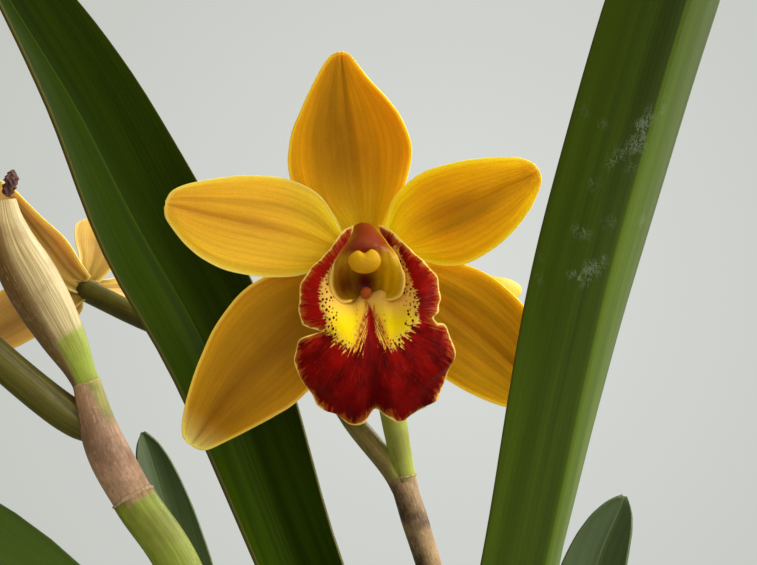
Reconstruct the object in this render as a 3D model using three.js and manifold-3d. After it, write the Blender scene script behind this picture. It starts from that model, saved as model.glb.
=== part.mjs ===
// A potted cymbidium orchid: a terracotta pot filled with bark, four leafy pseudobulbs with long strap leaves, and two
// flower spikes with yellow blooms whose lips are dark red. Millimetres, +Z up, origin at the centre of the pot's base.
// The best bloom looks along -Y. Each leaf, bulb, spike, petal and pot piece is a closed solid of its own.
import * as THREE from "three";
import { mergeVertices } from "three/addons/utils/BufferGeometryUtils.js";
import Module from "manifold-3d";

const wasm = await Module();
wasm.setup();

// Driving dimensions
const POT = { height: 150, topRadius: 80, baseRadius: 56, wall: 5, floor: 8, rimHeight: 24, rimStep: 4 };
const DRAIN = { count: 4, radius: 5, ring: 30 };
const MIX_TOP = 136;
const GAP = 0.3;
const LEAF_THICK = 1.0;
const TEPAL_THICK = 0.9;
const LIP_THICK = 0.9;

// Colours, as sRGB
const COLOUR = {
  terracotta: 0xb5683f,
  bark: 0x5b3d28,
  bulb: 0x7f9440,
  leaf: 0x3d5c14,
  stem: 0x7e8f3a,
  straw: 0xc9b878,
  withered: 0x4a2f38,
  tepal: 0xe0a51c,
  lip: 0x8c1414,
  column: 0xc9a030,
  cap: 0xe8c43a,
  bud: 0xd2b23c,
};

const V = (x, y, z) => new THREE.Vector3(x, y, z);
const curve = (rows) => new THREE.CatmullRomCurve3(rows.map((r) => V(...r)), false, "centripetal");

// A small seeded generator, so that each run gives the same bark and blooms.
function seeded(seed) {
  let state = seed;
  return () => {
    state = (state + 0x6d2b79f5) | 0;
    let t = Math.imul(state ^ (state >>> 15), 1 | state);
    t = (t + Math.imul(t ^ (t >>> 7), 61 | t)) ^ t;
    return ((t ^ (t >>> 14)) >>> 0) / 4294967296;
  };
}

// Solids and booleans
function toSolid(geometry) {
  const bare = geometry.clone();
  bare.deleteAttribute("normal");
  bare.deleteAttribute("uv");
  const merged = mergeVertices(bare, 1e-4);
  return new wasm.Manifold(
    new wasm.Mesh({
      numProp: 3,
      vertProperties: new Float32Array(merged.attributes.position.array),
      triVerts: new Uint32Array(merged.index.array),
    }),
  );
}

function toGeometry(solid) {
  const mesh = solid.getMesh();
  const geometry = new THREE.BufferGeometry();
  geometry.setAttribute("position", new THREE.BufferAttribute(mesh.vertProperties, 3));
  geometry.setIndex(new THREE.BufferAttribute(mesh.triVerts, 1));
  return geometry;
}

// Joins closed geometries into one body and drops any loose scrap.
function fuse(geometries) {
  const joined = geometries.map(toSolid).reduce((whole, next) => whole.add(next));
  const bodies = joined.decompose().sort((a, b) => b.volume() - a.volume());
  return toGeometry(bodies[0]);
}

function cut(geometry, tools) {
  return toGeometry(tools.map(toSolid).reduce((whole, tool) => whole.subtract(tool), toSolid(geometry)));
}

// A thin closed blade: surface(u, v) gives the middle surface, with u from -1 to 1 across and v from 0 to 1 along.
// Both faces are split into triangles the same way.
function blade(across, along, surface, thickness) {
  const plane = new THREE.PlaneGeometry(2, 1, across, along);
  const flat = plane.getAttribute("position");
  const step = 0.004;
  const points = new Float32Array(flat.count * 6);
  for (let i = 0; i < flat.count; i++) {
    const u = flat.getX(i);
    const v = flat.getY(i) + 0.5;
    const acrossWay = surface(Math.min(1, u + step), v).sub(surface(Math.max(-1, u - step), v));
    const alongWay = surface(u, Math.min(1, v + step)).sub(surface(u, Math.max(0, v - step)));
    const half = acrossWay.cross(alongWay).normalize().multiplyScalar(thickness / 2);
    const middle = surface(u, v);
    middle.clone().add(half).toArray(points, i * 3);
    middle.clone().sub(half).toArray(points, (flat.count + i) * 3);
  }
  const top = Array.from(plane.index.array);
  const faces = [...top];
  for (let i = 0; i < top.length; i += 3) faces.push(...[top[i + 2], top[i + 1], top[i]].map((k) => k + flat.count));
  const row = across + 1;
  const border = [];
  for (let i = 0; i < across; i++) border.push(along * row + i);
  for (let j = along; j > 0; j--) border.push(j * row + across);
  for (let i = across; i > 0; i--) border.push(i);
  for (let j = 0; j < along; j++) border.push(j * row);
  border.forEach((a, k) => {
    const b = border[(k + 1) % border.length];
    faces.push(b, a, a + flat.count, b, a + flat.count, b + flat.count);
  });
  const geometry = new THREE.BufferGeometry();
  geometry.setAttribute("position", new THREE.BufferAttribute(points, 3));
  geometry.setIndex(faces);
  return geometry;
}

// A closed tube along a curve. radius(t, angle) may vary round the section.
function tube(path, sides, steps, radius) {
  const geometry = new THREE.CylinderGeometry(1, 1, 1, sides, steps);
  const frames = path.computeFrenetFrames(steps, false);
  const position = geometry.getAttribute("position");
  for (let i = 0; i < position.count; i++) {
    const t = position.getY(i) + 0.5;
    const k = Math.round(t * steps);
    const x = position.getX(i);
    const z = position.getZ(i);
    const size = radius(t, Math.atan2(z, x));
    const point = path.getPointAt(k / steps);
    point.addScaledVector(frames.normals[k], x * size).addScaledVector(frames.binormals[k], -z * size);
    position.setXYZ(i, point.x, point.y, point.z);
  }
  return geometry;
}

// A sphere reshaped point by point.
function shapedSphere(sides, rows, shape) {
  const geometry = new THREE.SphereGeometry(1, sides, rows);
  const position = geometry.getAttribute("position");
  for (let i = 0; i < position.count; i++) {
    const point = shape(V(position.getX(i), position.getY(i), position.getZ(i)));
    position.setXYZ(i, point.x, point.y, point.z);
  }
  return geometry;
}

const smooth = (a, b, x) => THREE.MathUtils.smoothstep(x, a, b);

// Values that change along a length: rows of [share, value, ...], eased from row to row.
function keyed(rows) {
  return (share) => {
    const next = rows.findIndex((row) => row[0] >= share);
    if (next <= 0) return rows[next === 0 ? 0 : rows.length - 1].slice(1);
    const [from, to] = [rows[next - 1], rows[next]];
    const part = (share - from[0]) / (to[0] - from[0]);
    return from.slice(1).map((value, k) => value + (to[k + 1] - value) * part);
  };
}

// Pot
function potGeometry() {
  const { height, topRadius, baseRadius, wall, floor, rimHeight, rimStep } = POT;
  const bodyRadius = (z) => baseRadius + ((topRadius - rimStep - baseRadius) * z) / height;
  const rimBase = height - rimHeight;
  const profile = [
    [0, 0],
    [baseRadius - 2, 0],
    [baseRadius, 2],
    [bodyRadius(rimBase - 3), rimBase - 3],
    [topRadius - 1.5, rimBase],
    [topRadius, rimBase + 2],
    [topRadius, height - 2],
    [topRadius - 2, height],
    [topRadius - wall - 1, height],
    [topRadius - wall - 3, height - 3],
    [bodyRadius(rimBase) - wall, rimBase - 6],
    [baseRadius - wall + 1, floor + 3],
    [baseRadius - wall - 3, floor],
    [0, floor],
  ];
  const body = new THREE.LatheGeometry(profile.map(([r, z]) => new THREE.Vector2(r, z)), 32);
  body.rotateX(Math.PI / 2);
  const drains = Array.from({ length: DRAIN.count }, (_, k) => {
    const angle = ((k + 0.5) * 2 * Math.PI) / DRAIN.count;
    const hole = new THREE.CylinderGeometry(DRAIN.radius, DRAIN.radius, floor * 3, 12);
    hole.rotateX(Math.PI / 2);
    return hole.translate(DRAIN.ring * Math.cos(angle), DRAIN.ring * Math.sin(angle), floor / 2);
  });
  return cut(body, drains);
}

// Pseudobulbs: egg-shaped, slightly flattened, ribbed, standing partly in the bark
const BULBS = {
  bulb_front: { x: 2, y: -32, rx: 15, ry: 17, bottom: 118, top: 193 },
  bulb_right: { x: 38, y: 10, rx: 16, ry: 15, bottom: 118, top: 186 },
  bulb_left: { x: -38, y: 12, rx: 16, ry: 15, bottom: 118, top: 184 },
  bulb_back: { x: 0, y: 44, rx: 15, ry: 14, bottom: 118, top: 176 },
};

function bulbGeometry({ x, y, rx, ry, bottom, top }, grow = 0) {
  const half = (top - bottom) / 2;
  return shapedSphere(12, 8, (p) => {
    const height = p.y;
    const swell = 1 - 0.2 * height;
    const rib = 1 + 0.03 * Math.cos(6 * Math.atan2(p.z, p.x));
    return V(
      x + p.x * (rx * swell * rib + grow),
      y - p.z * (ry * swell * rib + grow),
      bottom + half * (1 + height) + grow * height,
    );
  });
}

// Leaves: folded straps. The spine is a list of points or an arch that leans further and further over;
// "face" is where the leaf's inner side looks at its base, middle and tip.
function archSpine({ base, azimuth, length, lean }) {
  const points = [base];
  const steps = 24;
  const way = THREE.MathUtils.degToRad(azimuth);
  const at = V(...base);
  for (let i = 0; i < steps; i++) {
    const tilt = THREE.MathUtils.degToRad(lean[0] + (lean[1] - lean[0]) * Math.pow((i + 0.5) / steps, 1.25));
    const run = (length / steps) * Math.sin(tilt);
    at.add(V(run * Math.cos(way), run * Math.sin(way), (length / steps) * Math.cos(tilt)));
    if ((i + 1) % 4 === 0) points.push(at.toArray());
  }
  return points;
}

const LEAVES = {
  leaf_01: {
    spine: [[6, -25, 197], [9, -28, 250], [4, -33, 330], [-10, -36, 395], [-33.7, -34, 450.2], [-51.9, -31, 495.6], [-67.5, -25, 522.4], [-81.6, -16, 547.9], [-97.5, -6, 572.2], [-112, 2, 594], [-126, 10, 614]],
    face: [[0, 0, -1, 0], [0.4, 0.1, -0.98, 0], [0.57, 0.36, -0.93, 0.1], [0.72, 0.5, -0.86, 0.1], [0.88, 0.78, -0.62, 0.1], [1, 0.8, -0.6, 0.2]],
    half: [[0, 6.5], [0.3, 9], [0.57, 11.6], [0.68, 15.6], [0.74, 16.8], [0.88, 15], [0.95, 9], [1, 0.7]],
    fold: [[0, 48], [0.57, 42], [0.72, 33], [1, 33]],
  },
  leaf_02: {
    spine: [[-3, -40, 197], [-7, -50, 250], [-6, -66, 330], [4, -77, 400], [16.4, -85, 456.6], [22.5, -91, 488.1], [26.8, -95, 508.6], [32.8, -99, 532.4], [40.5, -105, 560.9], [51, -111, 594], [63, -117, 626]],
    face: [[0, 0, 1, 0], [0.4, -0.3, 0.95, 0], [0.6, -0.5, 0.86, 0.1], [0.72, -0.42, 0.9, 0.1], [0.84, -0.34, 0.93, 0.1], [1, -0.3, 0.93, 0.1]],
    half: [[0, 6.5], [0.3, 9.5], [0.6, 12.4], [0.72, 14.4], [0.86, 14.6], [0.93, 10.5], [1, 0.7]],
    fold: [[0, 48], [0.6, 42], [1, 42]],
  },
  leaf_03: {
    spine: [[-21, -30, 146], [-21.5, -33, 200], [-25, -40, 290], [-44.5, -50, 374], [-84.5, -60, 445], [-128, -66, 470], [-178, -76, 470], [-222, -84, 446]],
    face: [[0, 1, -0.1, 0], [0.5, 0.3, -0.9, 0.3], [1, 0.2, -0.3, 0.9]],
    half: [[0, 6], [0.3, 10], [0.55, 14], [0.8, 11.5], [0.93, 6], [1, 0.7]],
  },
  leaf_04: { base: [-4, -54.5, 144], azimuth: 264, length: 380, lean: [3, 118], half: 12 },
  leaf_05: { base: [13, -52, 150], azimuth: 296, length: 390, lean: [5, 105], half: 12 },
  leaf_06: {
    spine: [[34, 16, 188], [31, 34, 260], [30, 55, 340], [34, 70, 395], [41.5, 79, 434], [50, 84, 453.5]],
    face: [[0, 0, -1, 0], [0.6, 0, -1, 0.2], [1, -0.2, -1, 0.3]],
    half: [[0, 5], [0.3, 8], [0.7, 10.8], [0.88, 10.4], [0.95, 7.8], [0.99, 3.4], [1, 1.2]],
  },
  leaf_07: { base: [60, 10, 142], azimuth: 6, length: 430, lean: [4, 98], half: 13 },
  leaf_08: { base: [53, -5, 148], azimuth: 326, length: 400, lean: [6, 112], half: 12 },
  leaf_09: { base: [53, 23, 150], azimuth: 44, length: 440, lean: [4, 100], half: 13 },
  leaf_10: { base: [41, 8, 190], azimuth: 18, length: 410, lean: [3, 62], half: 13 },
  leaf_11: {
    spine: [[-35, 16, 188], [-38, 38, 270], [-50, 62, 350], [-61, 78, 410], [-70, 86, 445], [-78, 90, 470]],
    face: [[0, 0, -1, 0], [0.5, 0.2, -1, 0.2], [1, 0.3, -1, 0.3]],
    half: [[0, 5], [0.4, 8.5], [0.7, 10], [0.88, 7.5], [0.96, 4], [1, 0.8]],
  },
  leaf_12: { base: [-60, 12, 142], azimuth: 176, length: 430, lean: [4, 100], half: 13 },
  leaf_13: { base: [-53, -1, 148], azimuth: 214, length: 390, lean: [6, 114], half: 12 },
  leaf_14: { base: [-53, 25, 150], azimuth: 138, length: 430, lean: [4, 98], half: 13 },
  leaf_15: { base: [-41, 9, 188], azimuth: 160, length: 400, lean: [3, 66], half: 13 },
  leaf_16: { base: [0, 64, 142], azimuth: 92, length: 400, lean: [4, 112], half: 12 },
  leaf_17: { base: [-11, 59, 150], azimuth: 118, length: 400, lean: [4, 100], half: 12 },
  leaf_18: { base: [12, 59, 150], azimuth: 66, length: 400, lean: [4, 102], half: 12 },
};
const LEAF_ROWS = 12;
const LEAF_ACROSS = 2;

// Share of the full half-width at v: narrow and folded at the base, widest past the middle, pointed at the tip.
function leafShare(v) {
  const grown = 0.42 + 0.58 * smooth(0.02, 0.55, v);
  const tip = Math.sqrt(Math.max(0, 1 - Math.pow(Math.max(0, (v - 0.62) / 0.38), 2.4)));
  return grown * (0.05 + 0.95 * tip);
}

function leafGeometry(leaf) {
  const spine = curve(leaf.spine || archSpine(leaf));
  const way = THREE.MathUtils.degToRad(leaf.azimuth || 0);
  const inward = [-Math.cos(way), -Math.sin(way)];
  const faceAt = keyed(leaf.face || [[0, ...inward, 0], [0.5, ...inward, 1], [1, 0, 0, 1]]);
  const foldAt = keyed(leaf.fold || [[0, 46], [0.6, 24], [1, 24]]);
  const halfAt = Array.isArray(leaf.half) ? keyed(leaf.half) : (v) => [leaf.half * leafShare(v)];
  const surface = (u, v) => {
    const point = spine.getPointAt(v);
    const tangent = spine.getTangentAt(v);
    const face = V(...faceAt(v));
    face.addScaledVector(tangent, -face.dot(tangent)).normalize();
    const across = tangent.clone().cross(face);
    const fold = THREE.MathUtils.degToRad(foldAt(v)[0]);
    const half = halfAt(v)[0];
    return point
      .addScaledVector(across, u * half * Math.cos(fold))
      .addScaledVector(face, Math.abs(u) * half * Math.sin(fold));
  };
  return blade(LEAF_ACROSS, LEAF_ROWS, surface, LEAF_THICK);
}

// Blooms. In a bloom's own frame +Z looks out of the flower, +Y is up and the tepals meet at the origin.
// A tepal has a spine and an outline of [share of the spine, half-width anticlockwise, half-width clockwise].
const BEST_BLOOM = {
  dorsal_sepal: {
    spine: [[0, 2.8, -1.2], [-1.6, 11, -1.2], [-2.9, 21, 0.2], [-4.2, 31, 2.5], [-5, 40.4, 4.2]],
    outline: [[0, 3, 3], [0.12, 6.5, 6], [0.3, 12.2, 10.2], [0.46, 12.6, 11.6], [0.6, 11, 10.3], [0.73, 7.9, 7.8], [0.85, 4.9, 4.2], [0.95, 2.3, 2], [1, 0.5, 0.5]],
    cup: 2.4,
  },
  left_petal: {
    spine: [[-4.8, 0.6, 1], [-12, 3.2, 2], [-20, 5.4, 3.2], [-30, 7.6, 4], [-39.8, 9.8, 4]],
    outline: [[0, 2.4, 2.4], [0.12, 6, 6.5], [0.27, 8.8, 9.8], [0.42, 10.2, 10.4], [0.58, 10.7, 9.3], [0.72, 9.8, 7.5], [0.84, 7.6, 5.4], [0.93, 4.4, 3.2], [1, 0.6, 0.6]],
    cup: 0.6,
  },
  right_petal: {
    spine: [[4.9, 1, 1], [11, 5.2, 2.1], [19, 9.2, 3.6], [27, 12.9, 4.4], [34.2, 16.3, 4.2]],
    outline: [[0, 2.4, 2.4], [0.1, 6.2, 4.6], [0.24, 9.5, 8], [0.4, 10.4, 9.2], [0.56, 9.5, 8.8], [0.7, 8.3, 7.6], [0.84, 6.4, 5.4], [0.94, 4.2, 3.2], [1, 0.6, 0.6]],
    cup: 0.6,
  },
  left_sepal: {
    spine: [[-2.8, -2.6, -1.2], [-9, -9.5, -0.9], [-18, -17.6, 0.1], [-27, -27, 1.6], [-35, -37.8, 2.4]],
    outline: [[0, 2.4, 2.4], [0.12, 5.5, 6], [0.28, 9.4, 10.4], [0.42, 11.2, 11.4], [0.55, 11.3, 10.4], [0.68, 9.9, 8.4], [0.8, 7.6, 6.2], [0.92, 4.4, 3.9], [1, 0.6, 0.6]],
    cup: 1.2,
  },
  right_sepal: {
    spine: [[3, -2.6, -1.2], [11, -7.5, -0.9], [21, -14.6, 0.1], [31, -23.2, 1.6], [40, -31.6, 2.6]],
    outline: [[0, 2.4, 2.4], [0.12, 5.8, 5.5], [0.28, 10, 9.2], [0.42, 11.4, 10.8], [0.55, 10.8, 10], [0.68, 9, 8.6], [0.8, 6.8, 6.4], [0.92, 4, 3.9], [1, 0.6, 0.6]],
    cup: 1.2,
  },
};

const PLAIN_OUTLINE = [[0, 2.6, 2.6], [0.12, 5.8, 5.8], [0.3, 10, 10], [0.46, 10.8, 10.8], [0.6, 10, 10], [0.74, 8, 8], [0.86, 5.4, 5.4], [0.95, 2.8, 2.8], [1, 0.6, 0.6]];
const PLAIN_SPINES = [
  [[0, 2, -1.2], [0, 12, -1.2], [0, 22, 0], [0, 31, 2.5], [0, 38, 5]],
  [[2, -1.8, -1.2], [10, -9, -0.8], [19, -16.5, 0.2], [28, -25, 1.6], [34, -32.5, 2.6]],
  [[-2, -1.8, -1.2], [-10, -9, -0.8], [-19, -16.5, 0.2], [-28, -25, 1.6], [-34, -32.5, 2.6]],
  [[2.6, 0.6, 0], [12, 4, 1.8], [20, 7, 3], [28, 10, 3.6], [35, 12.8, 3.4]],
  [[-2.6, 0.6, 0], [-12, 4, 1.8], [-20, 7, 3], [-28, 10, 3.6], [-35, 12.8, 3.4]],
];

// The bloom behind the left leaf is half closed and seen from its back.
const BACK_TEPALS = [
  {
    spine: [[-1.5, 1.5, -1.5], [-6, 8, -2], [-11, 14.5, -3], [-16, 20.5, -5], [-20, 25.5, -8]],
    outline: [[0, 4, 4.4], [0.3, 7.5, 5.8], [0.5, 8, 4.8], [0.7, 6.5, 3.4], [0.85, 4.5, 1.8], [1, 0.6, 0.6]],
    cup: 1,
  },
  {
    spine: [[1.8, 1.2, -2], [2.6, 6, -8], [3, 11, -16], [3.4, 15, -23], [3.8, 18, -30]],
    outline: [[0, 2, 3], [0.3, 2.6, 7], [0.55, 3.8, 9], [0.7, 4.4, 8.5], [0.87, 3.6, 5], [1, 0.6, 0.6]],
    cup: 1,
  },
  {
    spine: [[-1.5, -1, -1], [-8, -4, -1.5], [-14, -7.5, -2.5], [-20, -11, -4], [-26, -14.5, -6]],
    outline: [[0, 4, 3], [0.15, 5.7, 5], [0.4, 6, 8], [0.65, 5.6, 8], [0.85, 4, 5], [1, 0.6, 0.6]],
    cup: 1,
  },
  {
    spine: [[2, -0.5, -3], [6, -0.5, -9], [10, -0.4, -16], [13.5, 0, -23], [16, 0.5, -30]],
    outline: [[0, 2, 2], [0.3, 2.6, 2.2], [0.55, 6, 4], [0.8, 5, 4], [1, 0.6, 0.6]],
    cup: 1,
  },
  {
    spine: [[0, -1.5, -3], [0, -5, -10], [-0.4, -8, -17], [-1, -10.5, -24], [-2, -12.5, -30]],
    outline: [[0, 2.5, 2.5], [0.3, 3.6, 3], [0.6, 4, 3], [0.85, 3, 2.4], [1, 0.6, 0.6]],
    cup: 0.6,
  },
];

function tepalGeometry({ spine, outline, cup }, across, along) {
  const middle = curve(spine);
  const edge = curve(outline);
  const surface = (u, p) => {
    const [v, before, after] = edge.getPoint(p).toArray();
    const share = Math.min(1, Math.max(0, v));
    const tangent = middle.getTangentAt(share);
    const side = tangent.clone().cross(V(0, 0, 1)).normalize();
    const face = side.clone().cross(tangent);
    const half = Math.max(0.4, u < 0 ? before : after);
    const lift = cup * u * u * Math.sin(Math.PI * Math.min(1, 0.15 + share * 0.8));
    return middle.getPointAt(share).addScaledVector(side, u * half).addScaledVector(face, lift);
  };
  return blade(across, along, surface, TEPAL_THICK);
}

// The lip, from its claw under the column to the notched tip of its middle lobe. Each row gives the right half from the
// midline outwards: middle, floor, wall, rim and margin. The side lobes stand up round the column and their rims turn
// out; the middle lobe bends down. lipShift is how far the whole lip stands to the right of the column.
const LIP_ROWS = [
  [[0, -5, 0.9], [2, -4.6, 0.9], [3.4, -1.5, 1.4], [3.5, 2.5, 2.2], [3.2, 5.8, 3]],
  [[0, -8, 4], [2.6, -7.4, 4], [5.2, -3.5, 4], [5.4, 1.5, 4], [5.2, 4.4, 3.6]],
  [[0, -10.5, 8], [3.4, -9.5, 8], [6.6, -5, 8], [7, -0.5, 7.4], [8, 1.5, 6.4]],
  [[0, -12.4, 11.5], [3.8, -11, 11.5], [7.4, -7, 11.4], [8.6, -3, 10.8], [11, -1.4, 9.2]],
  [[0, -14.2, 14.5], [4, -12.8, 14.5], [7.6, -9.4, 14], [9.6, -6, 13.2], [13, -4.8, 11.4]],
  [[0, -16.2, 16.8], [4, -15, 16.8], [7.4, -12.2, 16.2], [9.8, -9.4, 15], [13.8, -9.4, 12.8]],
  [[0, -18.2, 18.2], [3.8, -17.4, 18.2], [7, -15, 17.4], [9, -12.8, 16.2], [12.6, -13.4, 14.2]],
  [[0, -20, 18.8], [3.6, -19.6, 18.9], [6.4, -17.8, 18.2], [8.2, -16.2, 17.2], [10.2, -15.4, 16]],
  [[0, -22.2, 19], [4, -22, 19.2], [7.8, -20.6, 18.6], [11, -18.6, 17.2], [14, -16, 15.2]],
  [[0, -25, 18.6], [4, -25, 19], [7.8, -24, 18.2], [11.6, -22.4, 16.4], [15.6, -20.4, 14]],
  [[0, -27.6, 17.6], [3.8, -28, 18.4], [7.2, -27.2, 17.2], [10.6, -26, 15.2], [14, -25.2, 12.8]],
  [[0, -29.6, 16.4], [3.4, -30.8, 17.4], [6.4, -30.2, 16], [9, -29.4, 14], [11.6, -29.2, 12]],
  [[0, -31, 15.4], [3, -32.8, 16.6], [5.4, -33, 15.4], [7.2, -32.2, 14], [9, -31.4, 12.6]],
];

function lipGeometry(shift, across, along, ripple) {
  const columns = [-4, -3, -2, -1, 0, 1, 2, 3, 4].map((k) =>
    curve(LIP_ROWS.map((row) => {
      const [x, y, z] = row[Math.abs(k)];
      return [Math.sign(k) * x + (shift * z) / 15, y, z];
    })),
  );
  const surface = (u, v) => {
    const t = 1 - v;
    const section = new THREE.CatmullRomCurve3(columns.map((c) => c.getPoint(t)), false, "centripetal");
    const point = section.getPoint((u + 1) / 2);
    const frill = ripple * smooth(0.5, 1, Math.abs(u)) * smooth(0.5, 0.62, t) * Math.sin(t * 42 + u);
    return point.add(V(0.5 * Math.sign(u) * frill, -0.2 * frill, frill));
  };
  return blade(across, along, surface, LIP_THICK);
}

// The column arches forward over the lip and carries the anther cap on its end.
function columnGeometry() {
  const path = curve([[0, 3.4, 1.2], [0, 3.4, 6], [-0.1, 2.2, 11], [-0.2, 0.2, 14.2]]);
  return tube(path, 10, 6, (t, angle) => {
    const wide = 2.2 + 1.3 * smooth(0.3, 1, t);
    const thick = 2.2 + 0.4 * t;
    return 1 / Math.hypot(Math.cos(angle) / thick, Math.sin(angle) / wide);
  });
}

function capGeometry() {
  return shapedSphere(12, 8, (p) => {
    const notch = 1.1 * Math.exp(-Math.pow(p.x / 0.35, 2)) * Math.max(0, p.y);
    return V(-0.2 + 3.2 * p.x, -1.4 + 2.6 * p.y - notch, 17.2 + 1.7 * p.z);
  });
}

// A bud: a pointed egg, three-sided like the sepals that close it.
function budGeometry(length, radius) {
  return shapedSphere(10, 8, (p) => {
    const t = (p.y + 1) / 2;
    const side = 1 + 0.06 * Math.cos(3 * Math.atan2(p.z, p.x));
    const swell = side * radius * (1.12 - 0.35 * t);
    return V(p.x * swell, -p.z * swell, 1 + length * t);
  });
}

// Blooms in place: centre of the flower, the way it looks, how far it is turned about that way, and how far behind the
// centre its stalk ends. The half-closed bloom's lip looks another way than its tepals, so that way is given too.
const BLOOMS = {
  best: { centre: [-17.5, -60, 515.5], looks: [0, -1, 0], turn: 0, back: 2.6 },
  back: {
    centre: [-87, 29, 509],
    looks: [0, -1, 0],
    turn: 0,
    back: 5.4,
    tepals: BACK_TEPALS,
    stalkWay: [-0.92, 0.34, 0.1],
    lipWay: { looks: [-0.2, 0.97, 0.1], turn: 90, scale: 0.8 },
  },
  near_left: { centre: [-119.5, -97, 526], looks: [-0.22, -0.97, 0.05], turn: -15, back: 2.6 },
  far_left: { centre: [-172, -86, 590], looks: [-0.85, -0.52, 0.05], turn: 6, back: 2.6 },
  upper_left: { centre: [-117, -98, 618], looks: [0.3, -0.94, 0.12], turn: -8, back: 2.6 },
};
const BUDS = {
  bud_behind: { base: [-2, 15, 505.6], looks: [0.9, 0.4, 0.12], length: 22, radius: 4.8 },
  bud_top_left: { base: [-158, -58, 652], looks: [-0.6, 0.1, 0.8], length: 27, radius: 7 },
  bud_top_right: { base: [-130, -62, 668], looks: [0.35, -0.15, 0.92], length: 21, radius: 5.5 },
};

function turned(looks, turn = 0) {
  const z = V(...looks).normalize();
  const up = Math.abs(z.z) > 0.95 ? V(0, -1, 0) : V(0, 0, 1);
  const x = up.clone().cross(z).normalize();
  const matrix = new THREE.Matrix4().makeBasis(x, z.clone().cross(x), z);
  return matrix.multiply(new THREE.Matrix4().makeRotationZ(THREE.MathUtils.degToRad(turn)));
}

// Spikes: each stem is one grown piece with its branches, swollen a little at each joint
const STEM_SIDES = 8;

function swelling(joints, base) {
  return (t) => base(t) + joints.reduce((sum, at) => sum + 0.55 * Math.exp(-Math.pow((t - at) / 0.012, 2)), 0);
}

// A flower stalk from a point on the stem to just behind a bloom or bud, bending to come in square to it.
function stalk(from, { centre, looks, back, stalkWay }, radii) {
  const way = V(...(stalkWay || looks)).normalize();
  const end = V(...centre).addScaledVector(way, -back);
  const start = V(...from);
  const before = end.clone().addScaledVector(way, -0.32 * start.distanceTo(end));
  const path = new THREE.CatmullRomCurve3([start, start.clone().lerp(before, 0.55), before, end], false, "centripetal");
  return tube(path, STEM_SIDES, 7, (t) => radii[0] + (radii[1] - radii[0]) * smooth(0.2, 0.9, t));
}

// A papery bract: a small pointed blade that clasps the stem at a joint.
function bract(at, along, outward, length, half) {
  const start = V(...at);
  const up = V(...along).normalize();
  const out = V(...outward);
  out.addScaledVector(up, -out.dot(up)).normalize();
  const side = up.clone().cross(out);
  const surface = (u, v) => {
    const share = half * (1 - Math.pow(v, 1.6)) + 0.35;
    return start
      .clone()
      .addScaledVector(up, length * v)
      .addScaledVector(side, u * share)
      .addScaledVector(out, 2.4 + 0.9 * v - 1.9 * u * u * (1 - v * 0.7));
  };
  return blade(2, 4, surface, 0.9);
}

const MIDDLE_SPIKE = {
  stem: [[35, -15, 120], [34, -17, 200], [27, -22, 300], [16.5, -26, 370], [7.6, -29, 415], [-3, -30, 446], [-9.8, -30, 467.4]],
  rachis: [[-6, -30, 459], [-11, -29.5, 469], [-21, -26, 481], [-27, -20, 492], [-26.5, -13, 500], [-23, -6, 507]],
  bestStalk: [[-7.6, -30, 462], [-10.4, -30.5, 478], [-13.2, -33, 494], [-16, -40.5, 507.5], [-17.3, -50, 514], [-17.5, -57.4, 515.5]],
  backFork: [-27.4, -18, 493],
};
const LEFT_SPIKE = {
  stem: [[-27, -45, 120], [-26, -49, 200], [-26, -55, 270], [-30, -62, 340], [-39, -67, 410], [-53.6, -70, 454.7], [-61.7, -70, 467.5], [-67.5, -70, 479.2], [-71.9, -70, 490.8]],
  rachis: [[-66, -70, 475.5], [-70.5, -70.3, 481], [-77.3, -71, 485.2], [-89, -72, 495.2], [-102, -73, 508], [-112, -73, 525], [-121, -72, 548], [-130, -70, 580], [-138, -66, 612], [-143, -62, 640]],
  sheath: [[-60.5, -70, 466.2], [-67.5, -70, 479.2], [-71.4, -70, 489.8]],
  pod: [[-72.3, -70, 491.4], [-74.3, -70, 495], [-78.3, -70, 502], [-82.4, -70, 509.8], [-85.9, -70, 516.6], [-87.6, -70, 521.6], [-88.5, -70, 526]],
};

function middleSpike() {
  const stem = tube(curve(MIDDLE_SPIKE.stem), STEM_SIDES, 18, swelling([0.3, 0.52, 0.74], (t) => 3.8 - 1.15 * smooth(0.2, 1, t)));
  const rachis = tube(curve(MIDDLE_SPIKE.rachis), STEM_SIDES, 8, (t) => 2.5 - 0.6 * t);
  const bestStalk = tube(curve(MIDDLE_SPIKE.bestStalk), STEM_SIDES, 9, (t) => 3 - 0.3 * t);
  const [x, y, z] = BLOOMS.best.centre;
  const receptacle = shapedSphere(8, 4, (p) => V(x + 5.6 * p.x, y + 2.9 - 0.9 * p.z, z + 0.6 + 5.6 * p.y));
  const backStalk = stalk(MIDDLE_SPIKE.backFork, BLOOMS.back, [2.1, 2.5]);
  const { base, looks } = BUDS.bud_behind;
  const budStalk = stalk([-24, -8, 505.5], { centre: base, looks, back: 0.3 }, [1.9, 2.1]);
  const bracts = [
    bract([25.6, -22.6, 309], [-0.12, -0.06, 1], [1, -0.5, 0], 34, 4.4),
    bract([13.4, -27.4, 390], [-0.2, -0.06, 1], [-1, -0.4, 0], 30, 4.2),
  ];
  return fuse([stem, rachis, bestStalk, receptacle, backStalk, budStalk, ...bracts]);
}

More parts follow.
